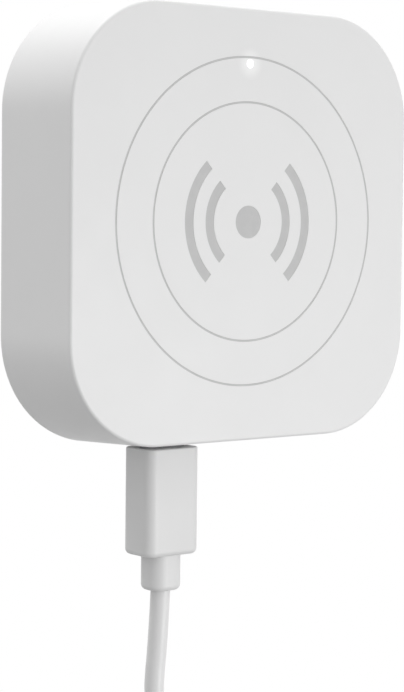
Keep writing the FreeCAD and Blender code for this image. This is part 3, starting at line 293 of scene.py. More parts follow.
def shade(piece):
    """Smooth faces, with edges drawn sharp where they turn sharply and normals that keep flat faces flat."""
    bm = bmesh.new()
    bm.from_mesh(piece.data)
    for face in bm.faces:
        face.smooth = True
    for edge in bm.edges:
        edge.smooth = edge.calc_face_angle(math.pi) < SHARP_ANGLE
    bm.to_mesh(piece.data)
    bm.free()
    if not piece.modifiers.get("even_normals"):
        even = piece.modifiers.new("even_normals", "WEIGHTED_NORMAL")
        even.keep_sharp = True


def weld(piece):
    """Merges the corners that a cut or a join leaves on top of each other."""
    bm = bmesh.new()
    bm.from_mesh(piece.data)
    bmesh.ops.remove_doubles(bm, verts=bm.verts, dist=WELD_DISTANCE)
    bmesh.ops.dissolve_degenerate(bm, edges=bm.edges, dist=WELD_DISTANCE)
    bm.to_mesh(piece.data)
    bm.free()


def combine(piece, bm, operation):
    """Joins closed shapes to a piece, or cuts them out of it."""
    mesh = bpy.data.meshes.new("tool")
    bmesh.ops.recalc_face_normals(bm, faces=bm.faces)
    bm.to_mesh(mesh)
    bm.free()
    tool = bpy.data.objects.new("tool", mesh)
    bpy.context.scene.collection.objects.link(tool)
    step = piece.modifiers.new("combine", "BOOLEAN")
    step.operation = operation
    step.object = tool
    step.solver = "EXACT"
    step.use_self = True
    piece.modifiers["even_normals"].show_viewport = False
    graph = bpy.context.evaluated_depsgraph_get()
    made = bpy.data.meshes.new_from_object(piece.evaluated_get(graph))
    piece.modifiers.remove(step)
    piece.modifiers["even_normals"].show_viewport = True
    old = piece.data
    piece.data = made
    made.name = piece.name
    bpy.data.meshes.remove(old)
    bpy.data.objects.remove(tool)
    bpy.data.meshes.remove(mesh)
    weld(piece)
    shade(piece)


def rounded_square(half, corner):
    """How far a rounded square's outline lies from a point of its plane, along a direction."""
    straight = half - corner
    halvings = 40

    def outside(x, z):
        over_x = abs(x) - straight
        over_z = abs(z) - straight
        return math.hypot(max(over_x, 0), max(over_z, 0)) + min(max(over_x, over_z), 0) - corner

    def reach(centre, direction):
        near = 0.0
        far = 3 * half
        for _ in range(halvings):
            between = (near + far) / 2
            if outside(centre.x + direction.x * between, centre.z + direction.z * between) < 0:
                near = between
            else:
                far = between
        return near

    return reach


def plain_circle(radius):
    """How far a circle's outline lies from its own centre, in any direction."""
    return lambda centre, direction: radius


def ring_solid(bm, rings, centre, sectors):
    """A closed solid of rings about a line into the wall; each ring is an outline and its depth."""
    stand = Matrix.Translation(centre) @ Matrix.Rotation(math.radians(90), 4, "X")
    made = bmesh.ops.create_circle(bm, cap_ends=True, segments=sectors, radius=1.0, matrix=stand)
    verts = made["verts"]
    edges = list({edge for vert in verts for edge in vert.link_edges})
    for number, (outline, depth) in enumerate(rings):
        if number:
            made = bmesh.ops.extrude_edge_only(bm, edges=edges)["geom"]
            verts = [item for item in made if isinstance(item, bmesh.types.BMVert)]
            edges = [item for item in made if isinstance(item, bmesh.types.BMEdge)]
        for vert in verts:
            direction = Vector((vert.co.x - centre.x, 0.0, vert.co.z - centre.z)).normalized()
            spot = centre + direction * outline(centre, direction)
            vert.co = (spot.x, -depth, spot.z)
    bmesh.ops.contextual_create(bm, geom=edges)
    bmesh.ops.recalc_face_normals(bm, faces=bm.faces)


def turned_solid(bm, profile, centre, axis, steps=64):
    """A solid turned about an axis; the profile is pairs of radius and level along the axis."""
    axis = Vector(axis)
    across = axis.orthogonal().normalized()
    verts = [bm.verts.new(centre + across * radius + axis * level) for radius, level in profile]
    edges = [bm.edges.new(pair) for pair in zip(verts, verts[1:])]
    bmesh.ops.spin(bm, geom=verts + edges, cent=centre, axis=axis, angle=math.radians(360),
                   steps=steps, use_merge=True)
    bmesh.ops.remove_doubles(bm, verts=bm.verts, dist=POLE_DISTANCE)
    bmesh.ops.recalc_face_normals(bm, faces=bm.faces)


def box_solid(bm, low, high):
    """A plain box between two corners; returns its edges."""
    stretch = Matrix.Translation((low + high) / 2) @ Matrix.Diagonal((*(high - low), 1.0))
    verts = bmesh.ops.create_cube(bm, size=1.0, matrix=stretch)["verts"]
    return list({edge for vert in verts for edge in vert.link_edges})


def round_edges(bm, edges, radius, segments):
    """Rounds edges with an arc."""
    bmesh.ops.bevel(bm, geom=edges, offset=radius, offset_type="OFFSET", affect="EDGES",
                    segments=segments, profile=0.5, material=-1, clamp_overlap=True)


def upright(edges):
    """Those of the edges that run straight up."""
    lines = [(edge, edge.verts[0].co - edge.verts[1].co) for edge in edges]
    return [edge for edge, line in lines if abs(line.normalized().z) > UPRIGHT_SHARE]


def moulded_block(bm, low, high, corner, ends, corner_steps=10, end_steps=6):
    """An upright block with rounded long edges; ends are pairs of a level and its edges' rounding."""
    round_edges(bm, upright(box_solid(bm, low, high)), corner, corner_steps)
    for level, rounding in ends:
        rim = [edge for edge in bm.edges
               if all(abs(vert.co.z - level) < SAME_LEVEL for vert in edge.verts)]
        round_edges(bm, rim, rounding, end_steps)
    bmesh.ops.recalc_face_normals(bm, faces=bm.faces)


def on_four_sides(bm):
    """Repeats a bmesh's shapes on all four sides of the case."""
    bmesh.ops.spin(bm, geom=bm.verts[:] + bm.edges[:] + bm.faces[:], cent=(0, 0, 0), axis=(0, 1, 0),
                   angle=math.radians(270), steps=3, use_duplicate=True)


# Helpers for materials

# Range that most of a noise texture's values lie in
NOISE_RANGE = (0.35, 0.65)


class Finish:
    """A node material whose textures read Object coordinates, or a UV map."""

    def __init__(self, name, base, roughness, metallic=0.0):
        self.material = bpy.data.materials.new(name)
        self.material.use_nodes = True
        self.nodes = self.material.node_tree.nodes
        self.links = self.material.node_tree.links
        self.shader = self.nodes["Principled BSDF"]
        self.shader.inputs["Base Color"].default_value = (*base, 1.0)
        self.shader.inputs["Roughness"].default_value = roughness
        self.shader.inputs["Metallic"].default_value = metallic
        self.base = base
        self.place = self.nodes.new("ShaderNodeTexCoord").outputs["Object"]
        self.height = None

    def node(self, kind, **values):
        """A new node of a kind, with its settings."""
        item = self.nodes.new("ShaderNode" + kind)
        for key, value in values.items():
            setattr(item, key, value)
        return item

    def join(self, value, socket):
        """Links an output to a socket, or gives the socket a number or a colour."""
        if isinstance(value, bpy.types.NodeSocket):
            self.links.new(value, socket)
        else:
            socket.default_value = value

    def mapped(self, scale=(1, 1, 1), rotation=(0, 0, 0), location=(0, 0, 0), source=None):
        """Coordinates that are stretched, turned by degrees and moved."""
        item = self.node("Mapping")
        item.inputs["Scale"].default_value = scale
        item.inputs["Rotation"].default_value = [math.radians(turn) for turn in rotation]
        item.inputs["Location"].default_value = location
        self.join(source or self.place, item.inputs["Vector"])
        return item.outputs["Vector"]

    def noise(self, grain, detail=3.0, vector=None):
        """Noise whose features are about as large as the grain, in metres."""
        item = self.node("TexNoise")
        item.inputs["Scale"].default_value = 1.0 / grain
        item.inputs["Detail"].default_value = detail
        self.join(vector or self.place, item.inputs["Vector"])
        return item.outputs["Fac"]

    def cells(self, size, **values):
        """Distances in cells of about a size in metres; a setting says from where."""
        item = self.node("TexVoronoi", **values)
        item.inputs["Scale"].default_value = 1 / size
        self.join(self.place, item.inputs["Vector"])
        return item.outputs["Distance"]

    def ranged(self, value, low, high, to_low, to_high):
        """A value whose range is changed to another one, and held inside it."""
        item = self.node("MapRange")
        for key, number in (("From Min", low), ("From Max", high), ("To Min", to_low), ("To Max", to_high)):
            item.inputs[key].default_value = number
        self.join(value, item.inputs["Value"])
        return item.outputs["Result"]

    def maths(self, operation, first, second=0.0):
        """The result of an operation on two values, each a number or an output."""
        item = self.node("Math", operation=operation)
        self.join(first, item.inputs[0])
        self.join(second, item.inputs[1])
        return item.outputs["Value"]

    def mixed(self, factor, first, second):
        """A mix of two colours, each an output or four numbers."""
        item = self.node("Mix", data_type="RGBA")
        for value, number in ((factor, 0), (first, 6), (second, 7)):
            self.join(value, item.inputs[number])
        return item.outputs[2]

    def mottle(self, grain, spread):
        """Slightly uneven colour."""
        darker = (*(channel * (1 - spread) for channel in self.base), 1.0)
        lighter = (*(min(1.0, channel * (1 + spread)) for channel in self.base), 1.0)
        patches = self.ranged(self.noise(grain), *NOISE_RANGE, 0.0, 1.0)
        self.join(self.mixed(patches, darker, lighter), self.shader.inputs["Base Color"])

    def uneven_gloss(self, grain, low, high):
        """Roughness that changes over the surface."""
        result = self.ranged(self.noise(grain), *NOISE_RANGE, low, high)
        self.join(result, self.shader.inputs["Roughness"])

    def bump(self, height, depth):
        """Adds relief of a depth in metres."""
        item = self.node("Bump")
        item.inputs["Strength"].default_value = 1.0
        item.inputs["Distance"].default_value = depth
        self.join(height, item.inputs["Height"])
        if self.height:
            self.join(self.height, item.inputs["Normal"])
        self.height = item.outputs["Normal"]
        self.join(self.height, self.shader.inputs["Normal"])

    def glow(self, strength):
        """White light of a strength, a number or an output."""
        self.shader.inputs["Emission Color"].default_value = WHITE
        self.join(strength, self.shader.inputs["Emission Strength"])


def satin_plastic(name, base, roughness, grain, depth):
    """Moulded plastic with a fine spark-eroded texture."""
    finish = Finish(name, base, roughness)
    finish.mottle(grain=0.011, spread=0.006)
    finish.uneven_gloss(grain=0.006, low=roughness - 0.03, high=roughness + 0.03)
    finish.bump(finish.noise(grain, detail=2.0), depth)
    return finish


def case_plastic(case, light):
    """The case's plastic, lit from inside around the status light."""
    finish = satin_plastic("case_satin", case.plastic, roughness=0.42, grain=0.00028, depth=0.000004)
    fading = 1.3
    centred = finish.mapped(location=(-LIGHT.x, FACE, -LIGHT.z))
    distance = finish.node("VectorMath", operation="LENGTH")
    finish.join(centred, distance.inputs[0])
    near = finish.ranged(distance.outputs["Value"], light.tip, light.halo_reach, 1.0, 0.0)
    soft = finish.maths("POWER", near, fading)
    finish.glow(finish.maths("MULTIPLY", soft, light.halo))
    return finish.material


def printed_grey(case):
    """Matt grey print in the sunk lines and the mark."""
    finish = Finish("print_grey", case.print_grey, roughness=0.55)
    finish.mottle(grain=0.002, spread=0.02)
    finish.bump(finish.noise(0.00015, detail=2.0), depth=0.000003)
    return finish.material


def lit_clear(light):
    """The light guide's lit tip: bright in front, clear and dim behind the face."""
    finish = Finish("lit_clear", (0.93, 0.95, 0.97), roughness=0.12)
    bright_before = 0.0002
    dim_behind = 0.0016
    dimmest = 0.04
    axes = finish.node("SeparateXYZ")
    finish.join(finish.place, axes.inputs["Vector"])
    front = finish.ranged(axes.outputs["Y"], dim_behind - FACE, bright_before - FACE, dimmest, 1.0)
    finish.glow(finish.maths("MULTIPLY", front, light.glow))
    finish.bump(finish.noise(0.0004), depth=0.000005)
    return finish.material


def pad_foam(case):
    """Fine closed-cell foam."""
    finish = Finish("pad_foam", case.foam, roughness=0.85)
    finish.mottle(grain=0.0012, spread=0.05)
    cells = finish.cells(0.00035, feature="DISTANCE_TO_EDGE")
    finish.bump(finish.ranged(cells, 0.0, 0.25, 0.0, 1.0), depth=0.00003)
    return finish.material


def pad_adhesive(case):
    """The pad's tacky side, a little glossy over the foam."""
    finish = Finish("pad_adhesive", case.foam, roughness=0.38)
    finish.mottle(grain=0.002, spread=0.03)
    finish.uneven_gloss(grain=0.003, low=0.28, high=0.5)
    finish.bump(finish.noise(0.0009), depth=0.00002)
    finish.shader.inputs["Coat Weight"].default_value = 0.3
    return finish.material


def brushed_metal(name, base, roughness, stretch=(1, 1, 30)):
    """Drawn sheet metal with fine lines along one direction."""
    finish = Finish(name, base, roughness, metallic=1.0)
    lines = finish.mapped(scale=[1 / side for side in stretch])
    finish.bump(finish.noise(0.00012, detail=4.0, vector=lines), depth=0.000004)
    streaks = finish.noise(0.0008, detail=3.0, vector=lines)
    finish.join(finish.ranged(streaks, 0.3, 0.7, roughness - 0.07, roughness + 0.09),
                finish.shader.inputs["Roughness"])
    return finish.material


def board_resin():
    """Circuit board: solder mask over a net of tracks, with tinned vias."""
    finish = Finish("board_resin", (0.022, 0.11, 0.055), roughness=0.35)
    flat = finish.mapped(rotation=(90, 0, 0))
    tracks = finish.node("TexBrick", offset=0.37, squash=0.6, squash_frequency=3)
    for key, value in (("Scale", 1.0), ("Brick Width", 0.0041), ("Row Height", 0.0017),
                       ("Mortar Size", 0.00011), ("Mortar Smooth", 0.2)):
        tracks.inputs[key].default_value = value
    finish.join(flat, tracks.inputs["Vector"])
    via = finish.ranged(finish.cells(0.0037), 0.055, 0.075, 1.0, 0.0)
    mask = (0.018, 0.095, 0.048, 1.0)
    mask_over_tracks = (0.035, 0.19, 0.085, 1.0)
    tin = (0.62, 0.62, 0.58, 1.0)
    masked = finish.mixed(tracks.outputs["Fac"], mask, mask_over_tracks)
    finish.join(finish.mixed(via, masked, tin), finish.shader.inputs["Base Color"])
    finish.join(via, finish.shader.inputs["Metallic"])
    finish.bump(tracks.outputs["Fac"], depth=0.00003)
    finish.bump(finish.noise(0.0006), depth=0.000008)
    return finish.material


def chip_resin():
    """Black moulding compound of the small parts."""
    finish = Finish("chip_resin", (0.018, 0.018, 0.020), roughness=0.5)
    finish.mottle(grain=0.0004, spread=0.25)
    finish.bump(finish.noise(0.00012, detail=4.0), depth=0.000008)
    return finish.material


def led_lens():
    """The status light's cast lens over its chip."""
    finish = Finish("led_lens", (0.90, 0.88, 0.72), roughness=0.25)
    finish.mottle(grain=0.0003, spread=0.04)
    finish.bump(finish.noise(0.0002), depth=0.000004)
    finish.glow(1.5)
    return finish.material


def tie_fabric(cord):
    """Woven hook-and-loop strip, on the piece's UV map, with painted shade in the weave's hollows."""
    finish = Finish("tie_fabric", cord.tie_grey, roughness=0.9)
    where = finish.node("TexCoord").outputs["UV"]
    heights = []
    for turn in (0, 90):
        ridges = finish.node("TexWave", wave_type="BANDS", bands_direction="X", wave_profile="SIN")
        ridges.inputs["Scale"].default_value = 1.0
        ridges.inputs["Distortion"].default_value = 0.6
        ridges.inputs["Detail Scale"].default_value = 2.0
        finish.join(finish.mapped(scale=(620, 620, 1), rotation=(0, 0, turn), source=where),
                    ridges.inputs["Vector"])
        heights.append(ridges.outputs["Fac"])
    weave = finish.maths("MULTIPLY", *heights)
    # Painted shade: the sunk parts of the weave are drawn darker, besides their bump
    weave_hollow_painted_shade = 0.72
    darker = (*(channel * weave_hollow_painted_shade for channel in cord.tie_grey), 1.0)
    finish.join(finish.mixed(weave, darker, (*cord.tie_grey, 1.0)), finish.shader.inputs["Base Color"])
    finish.bump(weave, depth=0.00012)
    finish.bump(finish.noise(0.0003, detail=5.0), depth=0.00004)
    finish.shader.inputs["Sheen Weight"].default_value = 0.35
    finish.shader.inputs["Sheen Roughness"].default_value = 0.5
    return finish.material


def finish_node(node, material):
    """Gives a CAD node its finish."""
    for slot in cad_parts[node].material_slots:
        slot.material = material


# Front housing

# Rounding of the socket's slot, as a share of half its thickness
SLOT_END = 0.96


def lean(case):
    """How far a side wall leans inwards for each metre towards the face."""
    return (case.side_back - case.side_front) / 2 / (FACE - RIM)


def case_half(case, depth):
    """Half the side of the case's outer outline at a depth in front of the wall."""
    return case.side_back / 2 - lean(case) * (depth - RIM)


def case_rings(case):
    """Half sides and depths of the shell's rings: face edge, side wall, rim, step and inside."""
    fillet_steps = 10
    wall_shares = (0.75, 0.5, 0.25)
    rim_turns = (30, 60, 90)
    support = 0.2 * MILLIMETRE
    slope = math.atan(lean(case))
    centre_depth = FACE - case.face_round
    centre_half = case_half(case, centre_depth) - case.face_round / math.cos(slope)
    rings = [(centre_half - support, FACE)]
    for step in range(fillet_steps + 1):
        share = step / fillet_steps
        turn = math.radians(90) * (1 - share) + slope * share
        rings.append((centre_half + case.face_round * math.cos(turn),
                      centre_depth + case.face_round * math.sin(turn)))
    wall_depths = [centre_depth - support]
    wall_depths += [RIM + (centre_depth - RIM) * share for share in wall_shares]
    wall_depths += [RIM + case.rim_round + support, RIM + case.rim_round]
    rings += [(case_half(case, depth), depth) for depth in wall_depths]
    for turn in rim_turns:
        turn = math.radians(turn)
        rings.append((case_half(case, RIM) - case.rim_round * (1 - math.cos(turn)),
                      RIM + case.rim_round * (1 - math.sin(turn))))
    ledge = RIM + case.cover_thick
    inside = FACE - case.wall
    rings.append((case_half(case, RIM) - case.step, RIM))
    rings.append((case_half(case, ledge) - case.step, ledge))
    rings.append((case_half(case, ledge) - case.wall, ledge))
    rings.append((case_half(case, inside) - case.wall, inside))
    return rings


def print_faces(bm, case, centre):
    """The faces of the two circles, and those of the dot and the arcs of the mark."""
    half_line = case.ring_line / 2
    bands = [(ring - half_line, ring + half_line, math.pi) for ring in (case.ring_outer, case.ring_inner)]
    bands += [(arc, arc + case.mark_line, case.mark_open) for arc in (case.mark_far, case.mark_near)]
    found = []
    for face in bm.faces:
        spot = face.calc_center_median()
        if abs(spot.y + FACE) > SAME_LEVEL:
            continue
        x = spot.x - centre.x
        z = spot.z - centre.z
        radius = math.hypot(x, z)
        from_side = math.atan2(abs(z), abs(x))
        if radius < case.mark_dot / 2:
            found.append(face)
        for inner, outer, opening in bands:
            if inner < radius < outer and from_side < opening:
                found.append(face)
    return found


def pin(bm, radius, near, far, x, z, steps):
    """A round bar along the wall's normal, between two depths in front of the wall."""
    profile = ((0, near), (radius, near), (radius, far), (0, far))
    turned_solid(bm, profile, Vector((x, 0, z)), (0, -1, 0), steps)


def boss_place(case):
    """Distance of a boss's axis from the middle, across and up."""
    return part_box("board_screws")[1].x - case.screw_head


def housing_inside(case):
    """Bosses with crossed ribs and the radar board's posts, on the inside of the face."""
    bm = bmesh.new()
    inside = FACE - case.wall
    sunk = inside + case.wall / 6
    boss = boss_place(case)
    pin(bm, case.boss_radius, BOARD_FRONT, sunk, boss, boss, steps=40)
    for wide, tall in ((case.rib_reach, case.rib / 2), (case.rib / 2, case.rib_reach)):
        box_solid(bm, Vector((boss - wide, -sunk, boss - tall)),
                  Vector((boss + wide, -(inside - case.rib_height), boss + tall)))
    on_four_sides(bm)
    post = extent("radar_board") / 2 - Vector((case.post_inset, 0, case.post_inset))
    for side in (-1, 1):
        for level in (-1, 1):
            pin(bm, case.post_radius, RADAR_FRONT, sunk, side * post.x, level * post.z, steps=32)
    return bm


def housing_cut_outs(case, light, plug):
    """Shapes to cut away: hook seats, pilots, the socket's slot, the button's and the light's holes."""
    bm = bmesh.new()
    past = MILLIMETRE
    hook_front = RIM + case.cover_thick + case.hook_reach
    seat_near = hook_front - case.hook_bead_length - case.hook_play
    inner = case_half(case, hook_front) - case.wall
    half = case.hook_width / 2 + case.hook_play
    for place in (-case.hook_offset, case.hook_offset):
        box_solid(bm, Vector((inner - case.hook_bead, -(hook_front + case.hook_play), place - half)),
                  Vector((inner + case.hook_bead + case.hook_play, -seat_near, place + half)))
    boss = boss_place(case)
    pin(bm, case.pilot_radius, BOARD_FRONT - past, BOARD_FRONT + case.pilot_depth, boss, boss, steps=24)
    on_four_sides(bm)
    socket = extent("socket_shell") / 2 + Vector((case.port_gap, case.port_gap, 0))
    wall = case_half(case, -PORT.y)
    low = Vector((PORT.x - socket.x, PORT.y - socket.y, -wall - past))
    high = Vector((PORT.x + socket.x, PORT.y + socket.y, -wall + 2 * case.wall))
    round_edges(bm, upright(box_solid(bm, low, high)), SLOT_END * socket.y, segments=12)
    hole = plug.button_radius + plug.button_gap
    near = wall - 2 * case.wall
    far = wall + past
    profile = ((0, near), (hole, near), (hole, far), (0, far))
    turned_solid(bm, profile, Vector((0, PORT.y, 0)), (1, 0, 0), steps=72)
    pin(bm, light.tip + light.tip_gap, FACE - 2 * case.wall, FACE + past, LIGHT.x, LIGHT.z, steps=48)
    return bm


class SENSOR_OT_front_housing(bpy.types.Operator):
    """Makes the front housing: drafted shell, face with circles and mark, bosses and cut-outs"""

    bl_idname = "sensor.front_housing"
    bl_label = "Front housing"
    sectors: IntProperty(name="Sectors", description="Divisions around the shell", default=240, min=48)

    def execute(self, context):
        case = context.scene.sensor_case
        light = context.scene.sensor_light
        centre = Vector((0, 0, case.ring_up))
        straight = case.side_back / 2 - case.corner
        half_line = case.ring_line / 2
        margin = 10 * half_line
        radii = (case.mark_dot, case.mark_near, case.mark_near + case.mark_line, case.mark_far,
                 case.mark_far + case.mark_line, case.ring_inner - half_line, case.ring_inner + half_line,
                 case.ring_outer - half_line, case.ring_outer + half_line, case.ring_outer + margin)
        rings = [(plain_circle(radius), FACE) for radius in radii]
        rings += [(rounded_square(half, half - straight), depth) for half, depth in case_rings(case)]
        bm = bmesh.new()
        ring_solid(bm, rings, centre, self.sectors)
        printed = print_faces(bm, case, centre)
        slope = case.print_sink / 4
        bmesh.ops.inset_region(bm, faces=printed, thickness=slope, depth=-case.print_sink,
                               use_even_offset=True, use_boundary=True)
        for face in printed:
            face.material_index = 1
        shell = new_piece("case_shell", bm, (case_plastic(case, light), printed_grey(case)),
                          replaces=("front_housing",))
        combine(shell, housing_inside(case), "UNION")
        combine(shell, housing_cut_outs(case, light, context.scene.sensor_plug), "DIFFERENCE")
        return {"FINISHED"}


class SENSOR_OT_light_guide(bpy.types.Operator):
    """Makes the lit light guide, from its domed tip in the face to the status light"""

    bl_idname = "sensor.light_guide"
    bl_label = "Light guide"

    def execute(self, context):
        light = context.scene.sensor_light
        case = context.scene.sensor_case
        inside = FACE - case.wall
        foot = -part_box("light_guide")[1].y
        dome_steps = 6
        profile = []
        for step in range(dome_steps + 1):
            turn = math.radians(90) * step / dome_steps
            profile.append((light.tip * math.sin(turn), FACE - light.dome * (1 - math.cos(turn))))
        flange_back = inside - light.flange_thick
        profile += [(light.tip, inside), (light.flange, inside), (light.flange, flange_back),
                    (light.rod, flange_back), (light.rod, foot), (0.0, foot)]
        bm = bmesh.new()
        turned_solid(bm, profile, Vector((LIGHT.x, 0, LIGHT.z)), (0, -1, 0), steps=48)
        new_piece("light_rod", bm, (lit_clear(light),), replaces=("light_guide",))
        return {"FINISHED"}


# Rear cover and adhesive pad

# Rounded edge of the cover: how far in and how deep its rings lie, in edge roundings
COVER_EDGE = ((2.0, 0.0), (1.0, 0.0), (0.5, 0.13), (0.13, 0.5), (0.0, 1.0))


def cover_hooks(case):
    """Eight snap hooks, two on each side, as closed shapes to join to the cover."""
    bm = bmesh.new()
    front = RIM + case.cover_thick + case.hook_reach
    root = RIM + case.cover_thick / 2
    edge = case_half(case, front) - case.wall - case.hook_play
    crest = edge + case.hook_bead
    back = edge - case.hook_thick
    crown = front - case.hook_bead_length / 2
    shoulder = front - case.hook_bead_length
    profile = ((back, root), (back, front), (edge, front), (crest, crown), (crest, shoulder),
               (edge, shoulder), (edge, root))
    for place in (-case.hook_offset, case.hook_offset):
        start = place - case.hook_width / 2
        face = bm.faces.new([bm.verts.new((start, -depth, up)) for up, depth in profile])
        made = bmesh.ops.extrude_face_region(bm, geom=[face])["geom"]
        moved = [item for item in made if isinstance(item, bmesh.types.BMVert)]
        bmesh.ops.translate(bm, verts=moved, vec=(case.hook_width, 0, 0))
    on_four_sides(bm)
    return bm


class SENSOR_OT_rear_cover(bpy.types.Operator):
    """Makes the rear cover with its recess and hooks, and the adhesive pad"""

    bl_idname = "sensor.rear_cover"
    bl_label = "Rear cover and pad"
    sectors: IntProperty(name="Sectors", description="Divisions around the cover", default=160, min=48)

    def execute(self, context):
        case = context.scene.sensor_case
        straight = case.side_back / 2 - case.corner
        half = case.side_back / 2 - case.step - case.cover_gap
        front = RIM + case.cover_thick
        front_half = half - (case_half(case, RIM) - case_half(case, front))
        pad_low, pad_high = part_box("adhesive_pad")
        pad_half = pad_high.x
        pad_corner = case.pad_corner
        recess = pad_half + case.cover_gap
        recess_corner = pad_corner + case.cover_gap
        soft = case.cover_round
        floor = -pad_low.y
        centre = Vector((0, 0, 0))
        rings = [(rounded_square(recess, recess_corner), floor),
                 (rounded_square(recess, recess_corner), RIM + soft / 2),
                 (rounded_square(recess + soft / 2, recess_corner + soft / 2), RIM)]
        rings += [(rounded_square(half - soft * inward, half - soft * inward - straight), RIM + soft * sunk)
                  for inward, sunk in COVER_EDGE]
        rings.append((rounded_square(front_half, front_half - straight), front))
        bm = bmesh.new()
        ring_solid(bm, rings, centre, self.sectors)
        plastic = satin_plastic("cover_satin", case.cover_white, roughness=0.5, grain=0.0004, depth=0.000012)
        panel = new_piece("rear_panel", bm, (plastic.material,),
                          replaces=("rear_cover",))
        combine(panel, cover_hooks(case), "UNION")

        edge = 0.12 * MILLIMETRE
        waist = 0.07 * MILLIMETRE
        depths = ((edge, 0.0), (0.3 * edge, 0.3 * edge), (0.0, edge), (waist, floor / 2), (0.0, floor - edge),
                  (edge, floor))
        rings = [(rounded_square(pad_half - inward, pad_corner - inward), depth) for inward, depth in depths]
        bm = bmesh.new()
        ring_solid(bm, rings, centre, self.sectors)
        for face in bm.faces:
            if face.calc_center_median().y > -SAME_LEVEL:
                face.material_index = 1
        pad = new_piece("foam_pad", bm, (pad_foam(case), pad_adhesive(case)),
                        replaces=("adhesive_pad",))
        return {"FINISHED"}


# Pairing button

# Hollow of the cap's end: how far out, in cap radii, and how deep there, in depths of the dish
DISH = ((0.0, 1.0), (0.3, 0.93), (0.55, 0.65), (0.74, 0.2))


class SENSOR_OT_pairing_button(bpy.types.Operator):
    """Makes the pairing button with its dished cap, flange and stem"""

    bl_idname = "sensor.pairing_button"
    bl_label = "Pairing button"

    def execute(self, context):
        case = context.scene.sensor_case
        plug = context.scene.sensor_plug
        low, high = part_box("pairing_button")
        wall = case_half(case, -PORT.y) - case.wall
        slope = lean(case) * plug.button_flange
        flange_out = wall - slope - plug.button_play
        flange_in = flange_out - plug.flange_thick
        cap = plug.button_radius
        end = high.x
        land = 1.15 * plug.button_round
        profile = [(out * cap, end - deep * plug.button_dish) for out, deep in DISH]
        profile.append((cap - land, end))
        round_steps = 6
        for step in range(round_steps + 1):
            turn = math.radians(90) * step / round_steps
            profile.append((cap - plug.button_round * (1 - math.sin(turn)),
                            end - plug.button_round * (1 - math.cos(turn))))
        profile += [(cap, flange_out), (plug.button_flange, flange_out), (plug.button_flange, flange_in),
                    (plug.button_stem, flange_in), (plug.button_stem, low.x), (0.0, low.x)]
        bm = bmesh.new()
        turned_solid(bm, profile, Vector((0, PORT.y, middle("pairing_button").z)), (1, 0, 0), steps=72)
        plastic = satin_plastic("button_satin", case.plastic, roughness=0.36, grain=0.00022, depth=0.000003)
        new_piece("button_cap", bm, (plastic.material,), body=BUTTON_BODY,
                  replaces=("pairing_button",))
        return {"FINISHED"}


# Boards and small parts, which keep their CAD meshes


class SENSOR_OT_inner_parts(bpy.types.Operator):
    """Gives the boards, chips, socket, screws and contacts their finishes"""

    bl_idname = "sensor.inner_parts"
    bl_label = "Inner parts"

    def execute(self, context):
        resin = board_resin()
        chip = chip_resin()
        gold = brushed_metal("gold_contact", (0.95, 0.70, 0.32), roughness=0.28)
        tinned = brushed_metal("tinned_metal", (0.74, 0.74, 0.72), roughness=0.34)
        steel = brushed_metal("screw_steel", (0.55, 0.55, 0.56), roughness=0.30, stretch=(1, 20, 1))
        # Metal of the plug's shell, with a dark grey base that is painted shade for the gap between the case
        # and the grip
        plating_dark_as_shade = brushed_metal("plug_shell_dark_as_shade", (0.20, 0.20, 0.21), roughness=0.42)
        fine = {"roughness": 0.45, "grain": 0.0002, "depth": 0.000004}
        plunger = satin_plastic("plunger_plastic", (0.10, 0.10, 0.10), **fine)
        insert = satin_plastic("insert_plastic", (0.72, 0.72, 0.70), **fine)
        groups = (
            (resin, ("main_board", "radar_board", "radio_board")),
            (chip, ("radar_chip", "regulator", "choke", "switch_body", "header_strip", "socket_tongue")),
            (gold, ("antenna_patches", "header_pins", "supply_contacts")),
            (tinned, ("shield_can", "capacitors", "socket_shell")),
            (steel, ("board_screws",)),
            (plating_dark_as_shade, ("plug_shell",)),
            (led_lens(), ("status_led",)),
            (plunger.material, ("switch_plunger",)),
            (insert.material, ("supply_insert",)),
        )
        for material, nodes in groups:
            for node in nodes:
                finish_node(node, material)
        return {"FINISHED"}


# Plug in the bottom wall


class SENSOR_OT_plug(bpy.types.Operator):
    """Makes the plug's moulded grip and the strain relief below it"""

    bl_idname = "sensor.plug"
    bl_label = "Plug and strain relief"

    def execute(self, context):
        plug = context.scene.sensor_plug
        finish = satin_plastic("grip_satin", plug.grip_white, roughness=0.44, grain=0.00024, depth=0.000004)
        plastic = finish.material
        low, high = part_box("plug_grip")
        bm = bmesh.new()
        moulded_block(bm, low, high, plug.grip_corner, ((high.z, plug.top_round), (low.z, plug.end_round)))
        new_piece("plug_body", bm, (plastic,), replaces=("plug_grip",))
        low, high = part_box("strain_relief")
        bm = bmesh.new()
        moulded_block(bm, low, high, plug.collar_corner, ((low.z, plug.end_round),))
        new_piece("relief_collar", bm, (plastic,), replaces=("strain_relief",))
        return {"FINISHED"}


# Supply plug at the cable's far end

# Where the relief's outline bends: how far out and how far down it, in shares
RELIEF_BEND = (0.5, 0.4)


def supply_metal(plug):
    """The supply plug's metal shell as a solid with rounded long edges, before its mouth and four windows are
    cut.
    """
    low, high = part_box("supply_shell")
    bm = bmesh.new()
    round_edges(bm, upright(box_solid(bm, low, high)), 2 * plug.metal_wall, segments=5)
    return bm


def supply_cut_outs(plug):
    """The shell's hollow and its windows."""
    low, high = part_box("supply_shell")
    wall = Vector((plug.metal_wall, plug.metal_wall, 0))
    past = Vector((0, 0, MILLIMETRE))
    bm = bmesh.new()
    hollow = box_solid(bm, low + wall - past, high - wall + past)
    round_edges(bm, upright(hollow), plug.metal_wall, segments=3)
    centre = (low + high) / 2
    level = high.z - plug.window_place
    side = plug.window / 2
    for place in (-plug.window_gap, plug.window_gap):
        box_solid(bm, Vector((low.x - MILLIMETRE, centre.y + place - side, level - side)),
                  Vector((high.x + MILLIMETRE, centre.y + place + side, level + side)))
    return bm


